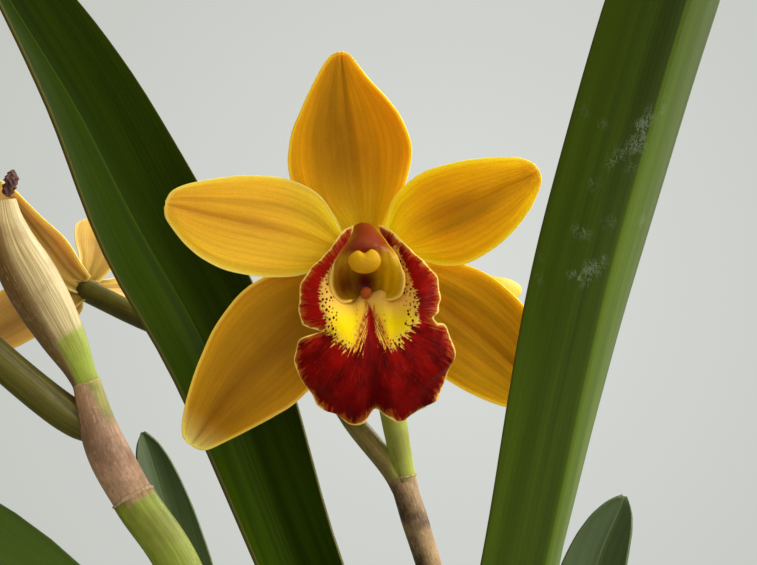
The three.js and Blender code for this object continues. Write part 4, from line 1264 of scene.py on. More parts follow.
ARCH_FIELDS = ("base", "azimuth", "length", "lean", "width", "foot")
ARCHED_LEAVES = {
    "leaf_04": ([-4, -54.5, 144], 264, 380, [3, 118], 12),
    "leaf_05": ([13, -52, 150], 296, 390, [5, 105], 12),
    "leaf_07": ([60, 10, 142], 6, 430, [4, 98], 13),
    "leaf_08": ([53, -5, 148], 326, 400, [6, 112], 12),
    "leaf_09": ([53, 23, 150], 44, 440, [4, 100], 13),
    "leaf_10": ([41, 8, 190], 18, 410, [3, 62], 13, (-1.5, 1, -14)),
    "leaf_12": ([-60, 12, 142], 176, 430, [4, 100], 13),
    "leaf_13": ([-53, -1, 148], 214, 390, [6, 114], 12),
    "leaf_14": ([-53, 25, 150], 138, 430, [4, 98], 13),
    "leaf_15": ([-41, 9, 188], 160, 400, [3, 66], 13, (1.5, 1.5, -14)),
    "leaf_16": ([0, 64, 142], 92, 400, [4, 112], 12),
    "leaf_17": ([-11, 59, 150], 118, 400, [4, 100], 12),
    "leaf_18": ([12, 59, 150], 66, 400, [4, 102], 12),
}


@dataclass
class Leaf:
    """A strap leaf, folded along its middle, on a spine of its own or on an arch that leans over."""

    name: str
    spine: Rows = field(default_factory=list)
    face: Rows = field(default_factory=list)
    half: Rows = field(default_factory=list)
    fold: Rows = field(default_factory=lambda: [[0, 46], [0.6, 24], [1, 24]])
    base: list[float] = field(default_factory=list)
    azimuth: float = 0
    length: float = 0
    lean: list[float] = field(default_factory=lambda: [0, 0])
    width: float = 0
    scuffs: Rows = field(default_factory=list)
    skins: tuple[LeafSkin, LeafSkin] = (LEAF_UPPER, LEAF_UNDER)
    window: float = 0.03
    thick: float = 0.9
    crease: float = 0.07
    foot: tuple[float, float, float] = (0, 0, -18)

    def arch(self) -> Rows:
        """Points of the arched spine."""
        way = math.radians(self.azimuth)
        at = np.array(self.base, float)
        points, steps = [at.copy()], 24
        for i in range(steps):
            tilt = math.radians(self.lean[0] + (self.lean[1] - self.lean[0]) * ((i + 0.5) / steps) ** 1.25)
            run = self.length / steps * math.sin(tilt)
            at = at + [run * math.cos(way), run * math.sin(way), self.length / steps * math.cos(tilt)]
            if (i + 1) % 4 == 0:
                points.append(at.copy())
        return points

    def half_at(self, v: Array) -> Array:
        """Half the width, in mm."""
        if self.half:
            return keyed(self.half, v, self.window)[:, 0]
        tip = np.sqrt(np.maximum(0, 1 - np.maximum(0, (v - 0.62) / 0.38) ** 2.4))
        return self.width * (0.42 + 0.58 * smooth(0.02, 0.55, v)) * (0.025 + 0.975 * tip)

    def build(self, seed: int) -> None:
        """Bends a grid to the leaf and dresses its two faces."""
        line = Curve(self.spine or self.arch())
        way = math.radians(self.azimuth)
        inward = [-math.cos(way), -math.sin(way)]
        face_rows = self.face or [[0, *inward, 0], [0.5, *inward, 1], [1, 0, 0, 1]]
        sway = random.Random(seed).uniform(0, 6)
        foot = float(np.linalg.norm(self.foot)) / line.length

        def surface(u: Array, v: Array) -> Array:
            """The leaf's middle surface, with a foot that goes straight down into the bulb or the bark."""
            share = v * (1 + foot) - foot
            below = np.maximum(0, -share) / foot
            v = np.maximum(0, share)
            tangent = line.tangent(v)
            face = keyed(face_rows, v)
            face = unit(face - tangent * np.sum(face * tangent, axis=1, keepdims=True))
            across = np.cross(tangent, face)
            fold = np.radians(keyed(self.fold, v, 0.03)[:, 0])
            half = self.half_at(v)
            rise = np.sqrt(u**2 + self.crease**2) - self.crease
            lift = rise * half * np.sin(fold) - 0.05 * half * np.sin(np.pi * np.abs(u)) * smooth(0, 0.3, v)
            wave = np.sin(17 * v + sway + 1.5 * np.sign(u))
            lift = lift + 0.5 * np.abs(u) ** 2 * wave * smooth(0.2, 0.5, v)
            point = line.at(v) + across * (u * half * np.cos(fold))[:, None] + face * lift[:, None]
            return point + below[:, None] * np.array(self.foot)

        squares = SCUFFED_LEAF_SQUARES if self.scuffs else LEAF_SQUARES
        bm = sheet(*squares, surface, seed=seed, even=bool(self.scuffs))
        blade = bm.verts.layers.float_vector["blade"]
        scuff = bm.verts.layers.float.new("scuff")
        for vert in bm.verts:
            u, v, _ = vert[blade]
            v = v * (1 + foot) - foot
            vert[scuff] = sum(
                show * math.exp(-(((v - a) / c) ** 2) - ((u - b) / d) ** 2) for a, b, c, d,
                show in self.scuffs
            )
        hand_over(f"{self.name}_blade", bm, list(self.skins), Slot.LEAF, [self.name], thickness=self.thick)


# Blooms. In a bloom's own frame +Z looks out of the flower, +Y is up and the tepals meet at the origin.
@dataclass(frozen=True)
class TepalShape:
    """A sepal or petal. Its outline has rows of share, half-width anticlockwise and half-width clockwise."""

    name: str
    spine: Rows
    outline: Rows
    cup: float
    groove: float = 0.45
    wave: float = 0.35
    skin: PetalSkin = PetalSkin("tepal_plain")

    def surface(self) -> Surface:
        """The middle surface, in the bloom's frame."""
        line = Curve(self.spine)
        edge = np.array(self.outline, float)

        def at(u: Array, p: Array) -> Array:
            """A point of the tepal."""
            reads = through(edge, p)
            share = np.clip(reads[:, 0], 0, 1)
            tangent = line.tangent(share)
            side = unit(np.cross(tangent, [0.0, 0.0, 1.0]))
            face = np.cross(side, tangent)
            half = np.maximum(0.12, np.where(u < 0, reads[:, 1], reads[:, 2]))
            lift = self.cup * u**2 * np.sin(np.pi * np.minimum(1, 0.15 + share * 0.8))
            lift = lift - self.groove * np.exp(-((u / 0.1) ** 2)) * np.sin(np.pi * share) ** 0.5
            lift = lift + self.wave * np.abs(u) ** 3 * np.sin(9 * share + 2 * np.sign(u) + len(self.name))
            lift = lift + 0.12 * np.sin(11 * u + 2 * share) * (1 - share)
            return line.at(share) + side * (u * half)[:, None] + face * lift[:, None]

        return at


# Each tepal's own colours are matched to how brightly it stands: its darker body, blush and tip colours are
# partly painted shade, and the lower left sepal's pale tip is a painted highlight.
BEST_TEPALS = [
    TepalShape(
        "dorsal_sepal", [[0, 2.8, -1.2], [-1.6, 11, -1.2], [-2.9, 21, 0.2], [-4.2, 31, 2.5], [-5, 40.2, 4.2]],
        [
            [0, 3, 3], [0.12, 6.5, 6], [0.3, 12.2, 10.3], [0.46, 12.9, 12], [0.6, 11.7, 11], [0.73, 8.9, 8.6],
            [0.85, 6, 5.2], [0.94, 3.7, 2.9], [0.985, 2, 1.7], [1, 0.4, 0.4],
        ],
        2.4, groove=0.35,
        # Its blush, moved left of the middle, and its strong middle crease are painted shade.
        skin=PetalSkin(
            "tepal_dorsal", "#D0B800", "#DCA200", "#B87800", "#7E4A00", 0.5, -0.12, 0.35, "#FFC23A",
        ),
    ),
    TepalShape(
        "left_petal", [[-4.8, 0.6, 1], [-12, 3.2, 2], [-20, 5.4, 3.2], [-30, 7.6, 4], [-39.8, 9.9, 4]],
        [
            [0, 2.4, 2.4], [0.12, 6, 6.5], [0.27, 8.6, 9.8], [0.42, 9.8, 10.4], [0.58, 10, 9.5],
            [0.72, 8.9, 8], [0.84, 6.8, 6.2], [0.93, 4.3, 4.5], [0.98, 2.5, 2.9], [1, 0.5, 0.6],
        ],
        0.6,
        skin=PetalSkin("tepal_left", "#F0CC00", "#F0C230", "#D8A634", "#B06A1C", 0.26, 0.2, 0.3, "#FFD682"),
    ),
    TepalShape(
        "right_petal", [[4.9, 1, 1], [11, 5.2, 2.1], [19, 9.2, 3.6], [27, 12.9, 4.4], [34.4, 16.4, 4.2]],
        [
            [0, 2.4, 2.4], [0.1, 5.8, 5], [0.24, 8.9, 8.8], [0.4, 9.8, 10.4], [0.56, 8.9, 10],
            [0.7, 7.6, 8.6], [0.84, 5.8, 6.2], [0.93, 4.2, 3.9], [0.985, 2.3, 2], [1, 0.5, 0.5],
        ],
        0.6,
        skin=PetalSkin("tepal_right", "#FFE400", "#F4C000", "#985C00", "#9A5800", 0.5, 0.0, 0.3, "#FFC850"),
    ),
    TepalShape(
        "left_sepal",
        [[-2.8, -2.6, -1.2], [-9, -9.5, -0.9], [-18, -17.6, 0.1], [-27, -27, 1.6], [-34.8, -37.9, 2.4]],
        [
            [0, 2.4, 2.4], [0.12, 5.5, 6], [0.28, 9.4, 11], [0.42, 11.2, 12.1], [0.55, 11.3, 11.2],
            [0.68, 10, 9.1], [0.8, 7.9, 6.9], [0.92, 4.9, 4.6], [0.98, 3, 2.8], [1, 0.6, 0.6],
        ],
        1.2,
        # Its pale tip is a painted highlight; its darker body and its blush moved to one side are painted
        # shade.
        skin=PetalSkin(
            "tepal_low_left", "#B88C00", "#BE8E04", "#FFF490", "#8A5200", 0.54, -0.15, 0.3, "#FFCE66",
        ),
    ),
    TepalShape(
        "right_sepal",
        [[3, -2.6, -1.2], [11, -7.5, -0.9], [21, -14.8, 0.1], [31, -23.6, 1.6], [40, -32, 2.6]],
        [
            [0, 2.4, 2.4], [0.12, 5.8, 5.5], [0.28, 9.6, 9.6], [0.42, 10.8, 11.4], [0.55, 10.4, 10.7],
            [0.68, 8.7, 9.2], [0.8, 6.6, 6.8], [0.92, 4, 3.9], [1, 0.4, 0.4],
        ],
        1.2,
        skin=PetalSkin(
            "tepal_low_right", "#F4CC0A", "#D2A400", "#ECBA00", "#925600", 0.5, 0.0, 0.3, "#FFC23A",
        ),
    ),
]
PLAIN_OUTLINE = [
    [0, 2.6, 2.6], [0.12, 5.8, 5.8], [0.3, 10, 10], [0.46, 10.8, 10.8], [0.6, 10, 10], [0.74, 8, 8],
    [0.86, 5.4, 5.4], [0.95, 2.8, 2.8], [1, 0.15, 0.15],
]
PLAIN_SPINES = [
    [[0, 2, -1.2], [0, 12, -1.2], [0, 22, 0], [0, 31, 2.5], [0, 38, 5]],
    [[2, -1.8, -1.2], [10, -9, -0.8], [19, -16.5, 0.2], [28, -25, 1.6], [34, -32.5, 2.6]],
    [[-2, -1.8, -1.2], [-10, -9, -0.8], [-19, -16.5, 0.2], [-28, -25, 1.6], [-34, -32.5, 2.6]],
    [[2.6, 0.6, 0], [12, 4, 1.8], [20, 7, 3], [28, 10, 3.6], [35, 12.8, 3.4]],
    [[-2.6, 0.6, 0], [-12, 4, 1.8], [-20, 7, 3], [-28, 10, 3.6], [-35, 12.8, 3.4]],
]
PLAIN_SKIN = PetalSkin("tepal_plain", blush_and_shade_share=0.4)
PLAIN_TEPALS = [
    TepalShape(f"tepal_{k}", spine, PLAIN_OUTLINE, 1.6 if k < 3 else 0.6, skin=PLAIN_SKIN)
    for k, spine in enumerate(PLAIN_SPINES)
]
BACK_SKIN = PetalSkin(
    "tepal_half_closed", "#8E7424", "#D8B05A", "#EFCF86", "#8E6A28", 0.45, 0.0, 0.35, "#E8CC88",
)
BACK_TEPALS = [
    TepalShape(
        "upper_left", [
            [1.8, 0.4, 2.2], [-1.6, 3.2, 2.4], [-6, 8.4, 0.6], [-11, 14.5, -2], [-16, 20.5, -5],
            [-20, 25.5, -8],
        ],
        [
            [0, 2.6, 2.6], [0.1, 3.6, 3.6], [0.36, 7.5, 4.4], [0.55, 8, 3.2], [0.73, 6.5, 2.4],
            [0.87, 4.5, 1.8], [1, 0.15, 0.15],
        ],
        1, skin=BACK_SKIN,
    ),
    TepalShape(
        "upper_far", [[1.8, 1.2, -2], [2.4, 6, -8], [2.4, 11, -16], [2.2, 15, -23], [2, 18, -30]],
        [
            [0, 2, 3], [0.3, 3.6, 7], [0.55, 5.4, 9], [0.7, 5.8, 8.5], [0.87, 4.4, 5], [1, 0.15, 0.15],
        ], 1, skin=BACK_SKIN,
    ),
    TepalShape(
        "lower_left", [
            [1.8, -0.4, 2.2], [-2.4, -1.8, 2], [-8, -4, -0.4], [-14, -7.5, -2.5], [-20, -11, -4],
            [-26, -14.5, -6],
        ],
        [
            [0, 2.6, 2.6], [0.12, 4, 3.6], [0.25, 5.7, 5], [0.46, 6, 8], [0.69, 5.6, 8], [0.87, 4, 5],
            [1, 0.15, 0.15],
        ],
        1, skin=BACK_SKIN,
    ),
    TepalShape(
        "right_far", [[2, -0.5, -3], [6, -0.5, -9], [10, -0.4, -16], [13.5, 0, -23], [16, 0.5, -30]],
        [[0, 2, 2], [0.3, 2.6, 2.2], [0.55, 6, 4], [0.8, 5, 4], [1, 0.15, 0.15]], 1, skin=BACK_SKIN,
    ),
    TepalShape(
        "lower_far", [[-1, -1.2, -3], [-2.4, -3, -10], [-4.6, -4.6, -17], [-7.4, -6, -24], [-10, -7, -30]],
        [[0, 2.5, 2.5], [0.3, 3.6, 3], [0.6, 4, 3], [0.85, 3, 2.4], [1, 0.15, 0.15]], 0.6, skin=BACK_SKIN,
    ),
]

# The lip in the bloom's frame: rows from the column to the front, each from its middle to its side.
LIP_ROWS = [
    [[0, -5, 0.9], [2, -4.6, 0.9], [3.4, -1.5, 1.4], [3.5, 2.5, 2.2], [3.2, 5.8, 3]],
    [[0, -8, 4], [2.6, -7.4, 4], [5.2, -3.5, 4], [5.4, 1.5, 4], [5.2, 4.4, 3.6]],
    [[0, -10.5, 8], [3.4, -9.5, 8], [6.6, -5, 8], [7, -0.5, 7.4], [8, 1.5, 6.4]],
    [[0, -12.4, 11.5], [3.8, -11, 11.5], [7.4, -7, 11.4], [8.6, -3, 10.8], [11, -1.4, 9.2]],
    [[0, -14.2, 14.5], [4, -12.8, 14.5], [7.6, -9.4, 14], [9.6, -6, 13.2], [13, -4.8, 11.4]],
    [[0, -16.2, 16.8], [4, -15, 16.8], [7.4, -12.2, 16.2], [9.8, -9.4, 15], [13.8, -9.4, 12.8]],
    [[0, -18.2, 18.2], [3.8, -17.4, 18.2], [7, -15, 17.4], [9, -12.8, 16.2], [12.6, -13.4, 14.2]],
    [[0, -20, 18.8], [3.6, -19.6, 18.9], [6.4, -17.8, 18.2], [8.2, -16.2, 17.2], [10.2, -15.4, 16]],
    [[0, -22.2, 19], [4, -22, 19.2], [7.8, -20.6, 18.6], [11, -18.6, 17.2], [14, -16, 15.2]],
    [[0, -25, 18.6], [4, -25, 19], [7.8, -24, 18.2], [11.6, -22.4, 16.4], [15.6, -20.4, 14]],
    [[0, -27.6, 17.6], [3.8, -28, 18.4], [7.2, -27.2, 17.2], [10.6, -26, 15.2], [14, -25.2, 12.8]],
    [[0, -29.6, 16.4], [3.4, -30.8, 17.4], [6.4, -30.2, 16], [9, -29.4, 14], [11.6, -29.2, 12]],
    [[0, -31, 15.4], [3, -32.8, 16.6], [5.4, -33, 15.4], [7.2, -32.2, 14], [9, -31.4, 12.6]],
]
LIP_LEFT = [
    [-2.4, 5.9, 3], [-4.3, 5, 3.6], [-7.8, 0.3, 6.4], [-10.1, -2, 9.2], [-12.5, -5.4, 11.4],
    [-13, -10.2, 12.8], [-12.3, -13.5, 14.2], [-8.7, -15.1, 16], [-12.2, -16, 15.2], [-13.9, -19.6, 14],
    [-12.5, -24.1, 12.8], [-10, -28.4, 12], [-7.6, -30.5, 12.6],
]
LIP_RIGHT = [
    [2.4, 6, 3], [4.4, 5.3, 3.6], [8.4, 1.5, 6.4], [11.2, -1.2, 9.2], [13.9, -4.4, 11.4], [14.5, -8.5, 12.8],
    [14.1, -11, 14.2], [13.3, -12.8, 16], [15.2, -13.6, 15.2], [17.2, -18.6, 14], [15.8, -23.8, 12.8],
    [13.9, -27.9, 12], [11.9, -29.8, 12.6],
]
LIP_HEM = [[-7.6, -30.5, 12.6], [-5.3, -31.2, 14], [-3, -32.9, 15.4], [-0.5, -32.7, 16.6], [1.8, -29.9, 15.4],
           [4.1, -31.3, 16.6], [6.5, -32.6, 15.4], [8.8, -31.3, 14], [11.9, -29.8, 12.6]]
# The edge of the yellow throat and its red lines, as the flower's front shows them.
THROAT = [
    [-6.4, -1.6], [-7.6, -4], [-8.8, -5.8], [-8.9, -8.1], [-8.7, -10.4], [-7.5, -12.6], [-7.5, -14.6],
    [-6.4, -16.6], [-4.7, -18], [-3, -18.7], [-1.1, -18.8], [-0.6, -16], [-0.2, -13.2], [0.6, -9.6],
    [1.6, -11.5], [2.3, -14.1], [2.9, -16.6], [3.9, -18.7], [4.6, -18], [6.6, -17.4], [8.4, -16],
    [9.1, -14.6], [10.3, -12.6], [10, -10.9], [10.4, -8.7], [9.8, -7], [9.2, -5.2], [8.7, -3.5], [7.9, -1.8],
    [7.3, -0.3], [6.4, 1.6], [4, 1], [0, 0], [-3, 0.5], [-5.5, 0],
]
THROAT_MIDDLE = np.array([1.0, -11.0])
# The column's two wings and the ridge between them, from the front of the cap to the hollow below it.
HOOD_LEFT = [
    [-2.1, 5.6, 5.4], [-2.5, 4.1, 7.4], [-3.4, 2.3, 9.2], [-4.5, 0.8, 10.4], [-5.6, -0.9, 11.4],
    [-6.6, -2.7, 12.2], [-7, -4.6, 12.8], [-6.9, -6.7, 13.1], [-6.1, -8.4, 13.3], [-4.9, -9.3, 13.2],
    [-2.8, -9.1, 12],
]
HOOD_RIGHT = [
    [1.2, 5.6, 5.4], [2.1, 4.7, 7.2], [3.3, 3.2, 9.2], [4.6, 1.4, 10.9], [6, -0.3, 12], [7.1, -2.7, 12.8],
    [7.6, -4.6, 13.2], [7.4, -6.6, 13.4], [6.8, -8.1, 13.4], [4.8, -8.9, 12.6], [2.6, -8.7, 11.2],
]
HOOD_RIDGE = [
    [-0.5, 6.1, 6.6], [-0.4, 5.3, 9.2], [-0.3, 4.2, 11.6], [-0.2, 2.9, 13.6], [-0.2, 1.4, 14.6],
    [-0.2, -0.8, 12.8], [-0.2, -3.2, 9], [-0.1, -5.2, 7], [0, -6.8, 6.8], [0.1, -7.8, 7.6], [0.2, -8.6, 9],
]
THROAT_LINES = [
    [[-0.4, -12], [-1.2, -15.5], [-1.7, -18.3]], [[-1, -15.8], [-2.4, -18.4]],
    [[0.1, -9.4], [-0.2, -12], [-0.4, -14]], [[2.3, -12], [3, -14], [3.7, -16], [5.3, -18.9]],
    [[2.6, -12.6], [3.9, -15.4]], [[1.6, -10.2], [2.1, -13]],
]


def from_line(points: Array, line: Rows, closed: bool = False) -> Array:
    """Distance from each flat point to a line.

    Args:
        points: rows of x and y.
        line: the line's corners.
        closed: whether the last corner joins the first.
    Returns:
        The distances; inside a closed line they are positive and outside negative.
    """
    corners = np.array([*line, line[0]] if closed else line, float)
    gaps = np.full(len(points), 1e9)
    inside = np.zeros(len(points), bool)
    for a, b in zip(corners, corners[1:]):
        way = b - a
        share = np.clip((points - a) @ way / (way @ way), 0, 1)
        gaps = np.minimum(gaps, np.linalg.norm(points - a - share[:, None] * way, axis=1))
        crosses = (a[1] > points[:, 1]) != (b[1] > points[:, 1])
        height = np.where(abs(way[1]) < 1e-9, 1e-9, way[1])
        inside ^= crosses & (points[:, 0] < a[0] + (points[:, 1] - a[1]) / height * way[0])
    return np.where(inside, gaps, -gaps) if closed else gaps


@dataclass
class Bloom:
    """A whole bloom: five tepals, a three-lobed lip, and the column with its anther cap."""

    name: str
    centre: list[float]
    looks: list[float]
    turn: float
    tepals: list[TepalShape]
    tepal_nodes: list[str]
    lip_nodes: list[str]
    column_nodes: list[str]
    cap_nodes: list[str] = field(default_factory=list)
    shift: float = 0.0
    ripple: float = 0.6
    fine: float = 0.5
    lip_looks: list[float] | None = None
    lip_turn: float = 0.0
    lip_scale: float = 1.0
    lip_in: float = 0.0
    heart: tuple[float, float, float] = (3.6, 3.6, 1.1)

    def moved(self, points: Array, lip: bool = False) -> Array:
        """Takes points from the bloom's frame to the plant's, in mm."""
        own = lip and self.lip_looks is not None
        axes = turned(self.lip_looks, self.lip_turn) if own else turned(self.looks, self.turn)
        reach = points * self.lip_scale + [0, 0, self.lip_in] if own else points
        return np.array(self.centre) + reach @ axes.T

    def squares(self, full: tuple[int, int]) -> tuple[int, int]:
        """Squares of a sheet, fewer where the bloom is less fine."""
        return int(full[0] * self.fine), int(full[1] * self.fine)

    def build_tepals(self) -> None:
        """Makes the five tepals and the small disc that they grow from."""
        for k, tepal in enumerate(self.tepals):
            at = tepal.surface()
            squares = self.squares(TEPAL_SQUARES)
            bm = sheet(*squares, lambda u, v: self.moved(at(u, v)), seed=k + len(self.name))
            hand_over(
                f"{self.name}_{tepal.name}", bm, [tepal.skin], Slot.PETAL,
                self.tepal_nodes if len(self.tepal_nodes) == 1 else [self.tepal_nodes[k]],
                thickness=0.85, rounds=1, thin_edge_mm=2.2,
            )
        heart = blob(4, lambda w: self.moved(w * self.heart + [0, 0, 0.3 - 1.5 * self.heart[2]]))
        hand_over(f"{self.name}_heart", heart, [BRANCH_SKIN], Slot.PETAL, [])

    def lip_surface(self, u: Array, v: Array) -> Array:
        """The lip's middle surface, in the bloom's frame."""
        t = 1 - v
        columns = []
        for k in range(-4, 5):
            rows = np.array([row[abs(k)] for row in LIP_ROWS], float)
            side = -1 if k < 0 else 1
            line = rows * [side, 1, 1] + rows[:, 2:] * [self.shift / 15, 0, 0]
            outline = np.array(LIP_LEFT if k < 0 else LIP_RIGHT)
            ends = np.array([row[4] for row in LIP_ROWS]) * [side, 1, 1]
            ends = ends + ends[:, 2:] * [self.shift / 15, 0, 0]
            line = line + (outline - ends) * (k / 4) ** 2
            hem = np.array(LIP_HEM[k + 4]) - line[-1]
            line[-3:] = line[-3:] + hem * np.array([[0.1], [0.4], [1]])
            columns.append(through(line, t))
        point = through(np.array(columns), (u + 1) / 2)
        outer, low = smooth(0.5, 1, np.abs(u)), smooth(0.5, 0.62, t)
        frill = self.ripple * outer * low * np.sin(t * 42 + u)
        callus = 3.4 * np.exp(-(((u * 8 - 0.4) / 1.9) ** 2)) * np.exp(-(((t - 0.21) / 0.075) ** 2))
        inner = smooth(0.12, 0.2, t) * (1 - smooth(0.38, 0.5, t))
        keels = 0.7 * np.exp(-(((np.abs(u) - 0.14) / 0.07) ** 2)) * inner
        folds = 0.55 * np.exp(-(((np.abs(u) - 0.2) / 0.1) ** 2)) - 1.1 * np.exp(-((u / 0.085) ** 2))
        pleats = folds * smooth(0.62, 0.85, t)
        ruffle = 0.35 * smooth(0.8, 1, np.abs(u)) * np.sin(t * 74 + 2 * u) * smooth(0.1, 0.2, t)
        return point + np.stack(
            [0.15 * np.sign(u) * frill + 0.4 * ruffle, callus + keels - 0.2 * frill, frill + pleats + ruffle],
            1,
        )

    def build_lip(self) -> None:
        """Makes the lip, with where its red, its throat and its hem are."""
        squares = self.squares(LIP_SQUARES)
        bm = sheet(
            *squares, lambda u, v: self.moved(self.lip_surface(u, v), lip=True),
            seed=len(self.name), even=True,
        )
        uv = read(bm, "blade")
        own = self.lip_surface(uv[:, 0], uv[:, 1])
        rim = rim_gap(bm, own)
        throat = from_line(own[:, :2], THROAT, closed=True)
        streak = np.min([from_line(own[:, :2], line) for line in THROAT_LINES], axis=0)
        note(bm, "front", own)
        note(bm, "zone", np.stack([throat, streak, rim], 1))
        apart = own[:, :2] - THROAT_MIDDLE
        reach = np.linalg.norm(apart, axis=1)
        fan = 12 * np.arctan2(apart[:, 0], -apart[:, 1])
        note(bm, "fan", np.stack([fan, reach, np.zeros_like(reach)], 1))
        hand_over(
            f"{self.name}_lip_velvet", bm, [LIP_FRONT, LIP_BACK],
            Slot.LIP, self.lip_nodes, thickness=0.75, rounds=1, thin_edge_mm=1.6,
        )

    def hood_surface(self, u: Array, v: Array) -> Array:
        """The column seen from below: a ridge that ends behind the cap, then a hollow between two wings."""
        s = 1 - v
        lines = (HOOD_LEFT, HOOD_RIGHT, HOOD_RIDGE)
        left, right, ridge = (through(np.array(line, float), s) for line in lines)
        bowl = ridge + (right - left) / 2 * u[:, None] + ((left + right) / 2 - ridge) * (u**2)[:, None]
        bowl[:, 2] += 0.14 * np.sin(np.abs(u) * 26) * smooth(0.3, 0.5, s) * smooth(0.2, 0.4, np.abs(u))
        return bowl

    def build_column(self) -> None:
        """Makes the hood, the cap at its end, and the knob below it."""
        squares = self.squares(HOOD_SQUARES)
        bm = sheet(*squares, lambda u, v: self.moved(self.hood_surface(u, v), lip=True), even=True)
        uv = read(bm, "blade")
        own = self.hood_surface(uv[:, 0], uv[:, 1])
        across = np.abs(uv[:, 0])
        pink_and_shade = np.clip(smooth(-2.5, 3.2, own[:, 1]) * 1.5 - 0.55 * across + 0.12, 0, 1)
        pink_and_shade = pink_and_shade * (1 - smooth(0.9, 0.97, across))
        # Painted shade in the hollow below the cap and on the lower left wing.
        cave_shade = np.exp(-(((own[:, 0] - 0.1) / 2.2) ** 2) - ((own[:, 1] + 5.8) / 3.2) ** 2)
        shade = 0.85 * np.exp(-(((own[:, 0] + 4.4) / 2.8) ** 2) - ((own[:, 1] + 6) / 4.2) ** 2)
        brown = 0.6 * np.exp(-((own[:, 0] / 3.0) ** 2)) * smooth(3, -1, own[:, 1])
        # The pink channel also carries painted shade down the hood's left side.
        pink_and_shade = np.clip(np.maximum(pink_and_shade + 0.4 * smooth(-0.5, -5, own[:, 0]), brown), 0, 1)
        inner = 1 - smooth(0.9, 0.97, across)
        note(bm, "tone", np.stack([pink_and_shade, np.clip(cave_shade + shade, 0, 1) * inner, 1 - inner], 1))
        hand_over(
            f"{self.name}_hood", bm, [COLUMN_SKIN], Slot.COLUMN, self.column_nodes, thickness=0.6, rounds=1,
        )

        def cap_shape(w: Array) -> Array:
            """A kidney with a notch in its top."""
            notch = 0.95 * np.exp(-((w[:, 0] / 0.28) ** 2)) * np.maximum(0, w[:, 1])
            side = 0.35 * w[:, 0] * np.maximum(0, w[:, 1])
            points = np.stack(
                [-0.2 + 3.2 * w[:, 0], -1.35 + 2.45 * w[:, 1] - notch + side, 16.8 + 1.8 * w[:, 2]], 1,
            )
            return self.moved(points, lip=True)

        cap = blob(
            5 if self.fine > 0.8 else 4, cap_shape,
            lambda w: np.stack([0.5 - 0.5 * w[:, 1], 0 * w[:, 0], 0 * w[:, 0]], 1),
        )
        hand_over(f"{self.name}_cap", cap, [CAP_SKIN], Slot.CAP, self.cap_nodes)
        knob = blob(4, lambda w: self.moved(w * [1.15, 1.15, 0.9] + [0.1, -7.5, 11.2], lip=True))
        hand_over(f"{self.name}_knob", knob, [KNOB_SKIN], Slot.COLUMN, [])

    def build(self) -> None:
        """Makes the whole bloom."""
        self.build_tepals()
        self.build_lip()
        self.build_column()


@dataclass
class Bud:
    """A closed bud: a pointed egg of three sepals, with a seam between each two."""

    name: str
    base: list[float]
    looks: list[float]
    length: float
    radius: float

    def build(self) -> None:
        """Makes the bud."""
        axes = turned(self.looks)

        def shape(w: Array) -> Array:
            """Pointed, three-sided, with seams."""
            t = (w[:, 2] + 1) / 2
            angle = np.arctan2(w[:, 1], w[:, 0])
            side = 1 + 0.06 * np.cos(3 * angle) - 0.06 * np.exp(-((np.sin(1.5 * angle) / 0.14) ** 2))
            swell = side * self.radius * (1.12 - 0.35 * t)
            own = np.stack([w[:, 0] * swell, w[:, 1] * swell, 1 + self.length * t], 1)
            return np.array(self.base) + own @ axes.T

        body = blob(5, shape, lambda w: np.stack([0.5 - 0.6 * w[:, 2], 0.2 * np.abs(w[:, 0]), w[:, 2]], 1))
        hand_over(f"{self.name}_closed", body, [BUD_SKIN], Slot.BUD, [self.name])


# Centre, the way that it looks, turn in degrees, and how far behind the centre its stalk ends.
BLOOM_PLACES = {
    "best": ([-17.5, -60, 515.5], [0, -1, 0], 0, 2.6),
    "back": ([-87, 29, 509], [0, -1, 0], 0, 1.2),
    "near_left": ([-119.5, -97, 526], [-0.22, -0.97, 0.05], -15, 2.6),
    "far_left": ([-172, -86, 590], [-0.85, -0.52, 0.05], 6, 2.6),
    "upper_left": ([-117, -98, 618], [0.3, -0.94, 0.12], -8, 2.6),
}
BACK_STALK_WAY = [-0.86, 0.34, 0.38]
# Foot, the way that it points, length and radius.
BUD_PLACES = {
    "bud_behind": ([-2, 15, 505.6], [0.9, 0.4, 0.12], 22, 4.8),
    "bud_top_left": ([-158, -58, 652], [-0.6, 0.1, 0.8], 27, 7),
    "bud_top_right": ([-130, -62, 668], [0.35, -0.15, 0.92], 21, 5.5),
}


# Spikes
def swelling(joints: list[float], base: Surface, rise: float = 0.55) -> Surface:
    """A radius that swells a little at each joint.

    Args:
        joints: shares of the length at which joints are.
        base: the plain radius.
        rise: how much it swells, in mm.
    Returns:
        The new radius.
    """
    def radius(t: Array, angle: Array) -> Array:
        """Radius with its joints."""
        return base(t, angle) + sum(rise * np.exp(-(((t - at) / 0.012) ** 2)) for at in joints)

    return radius


def stalk(start: list[float], centre: list[float], way: list[float], back: float) -> Curve:
    """The line of a flower stalk.

    Args:
        start: where it leaves the stem.
        centre: the middle of the bloom or the foot of the bud.
        way: how it comes in.
        back: how far behind the centre it ends.
    Returns:
        The line.
    """
    looks = unit(np.array(way, float)[None])[0]
    end = np.array(centre) - looks * back
    begin = np.array(start, float)
    before = end - looks * 0.32 * np.linalg.norm(end - begin)
    return Curve([begin, begin + (before - begin) * 0.55, before, end])


def taper(first: float, last: float, low: float = 0.0, high: float = 1.0) -> Surface:
    """A radius that goes from first to last between two shares of the length."""
    return lambda t, angle: first + (last - first) * smooth(low, high, t)


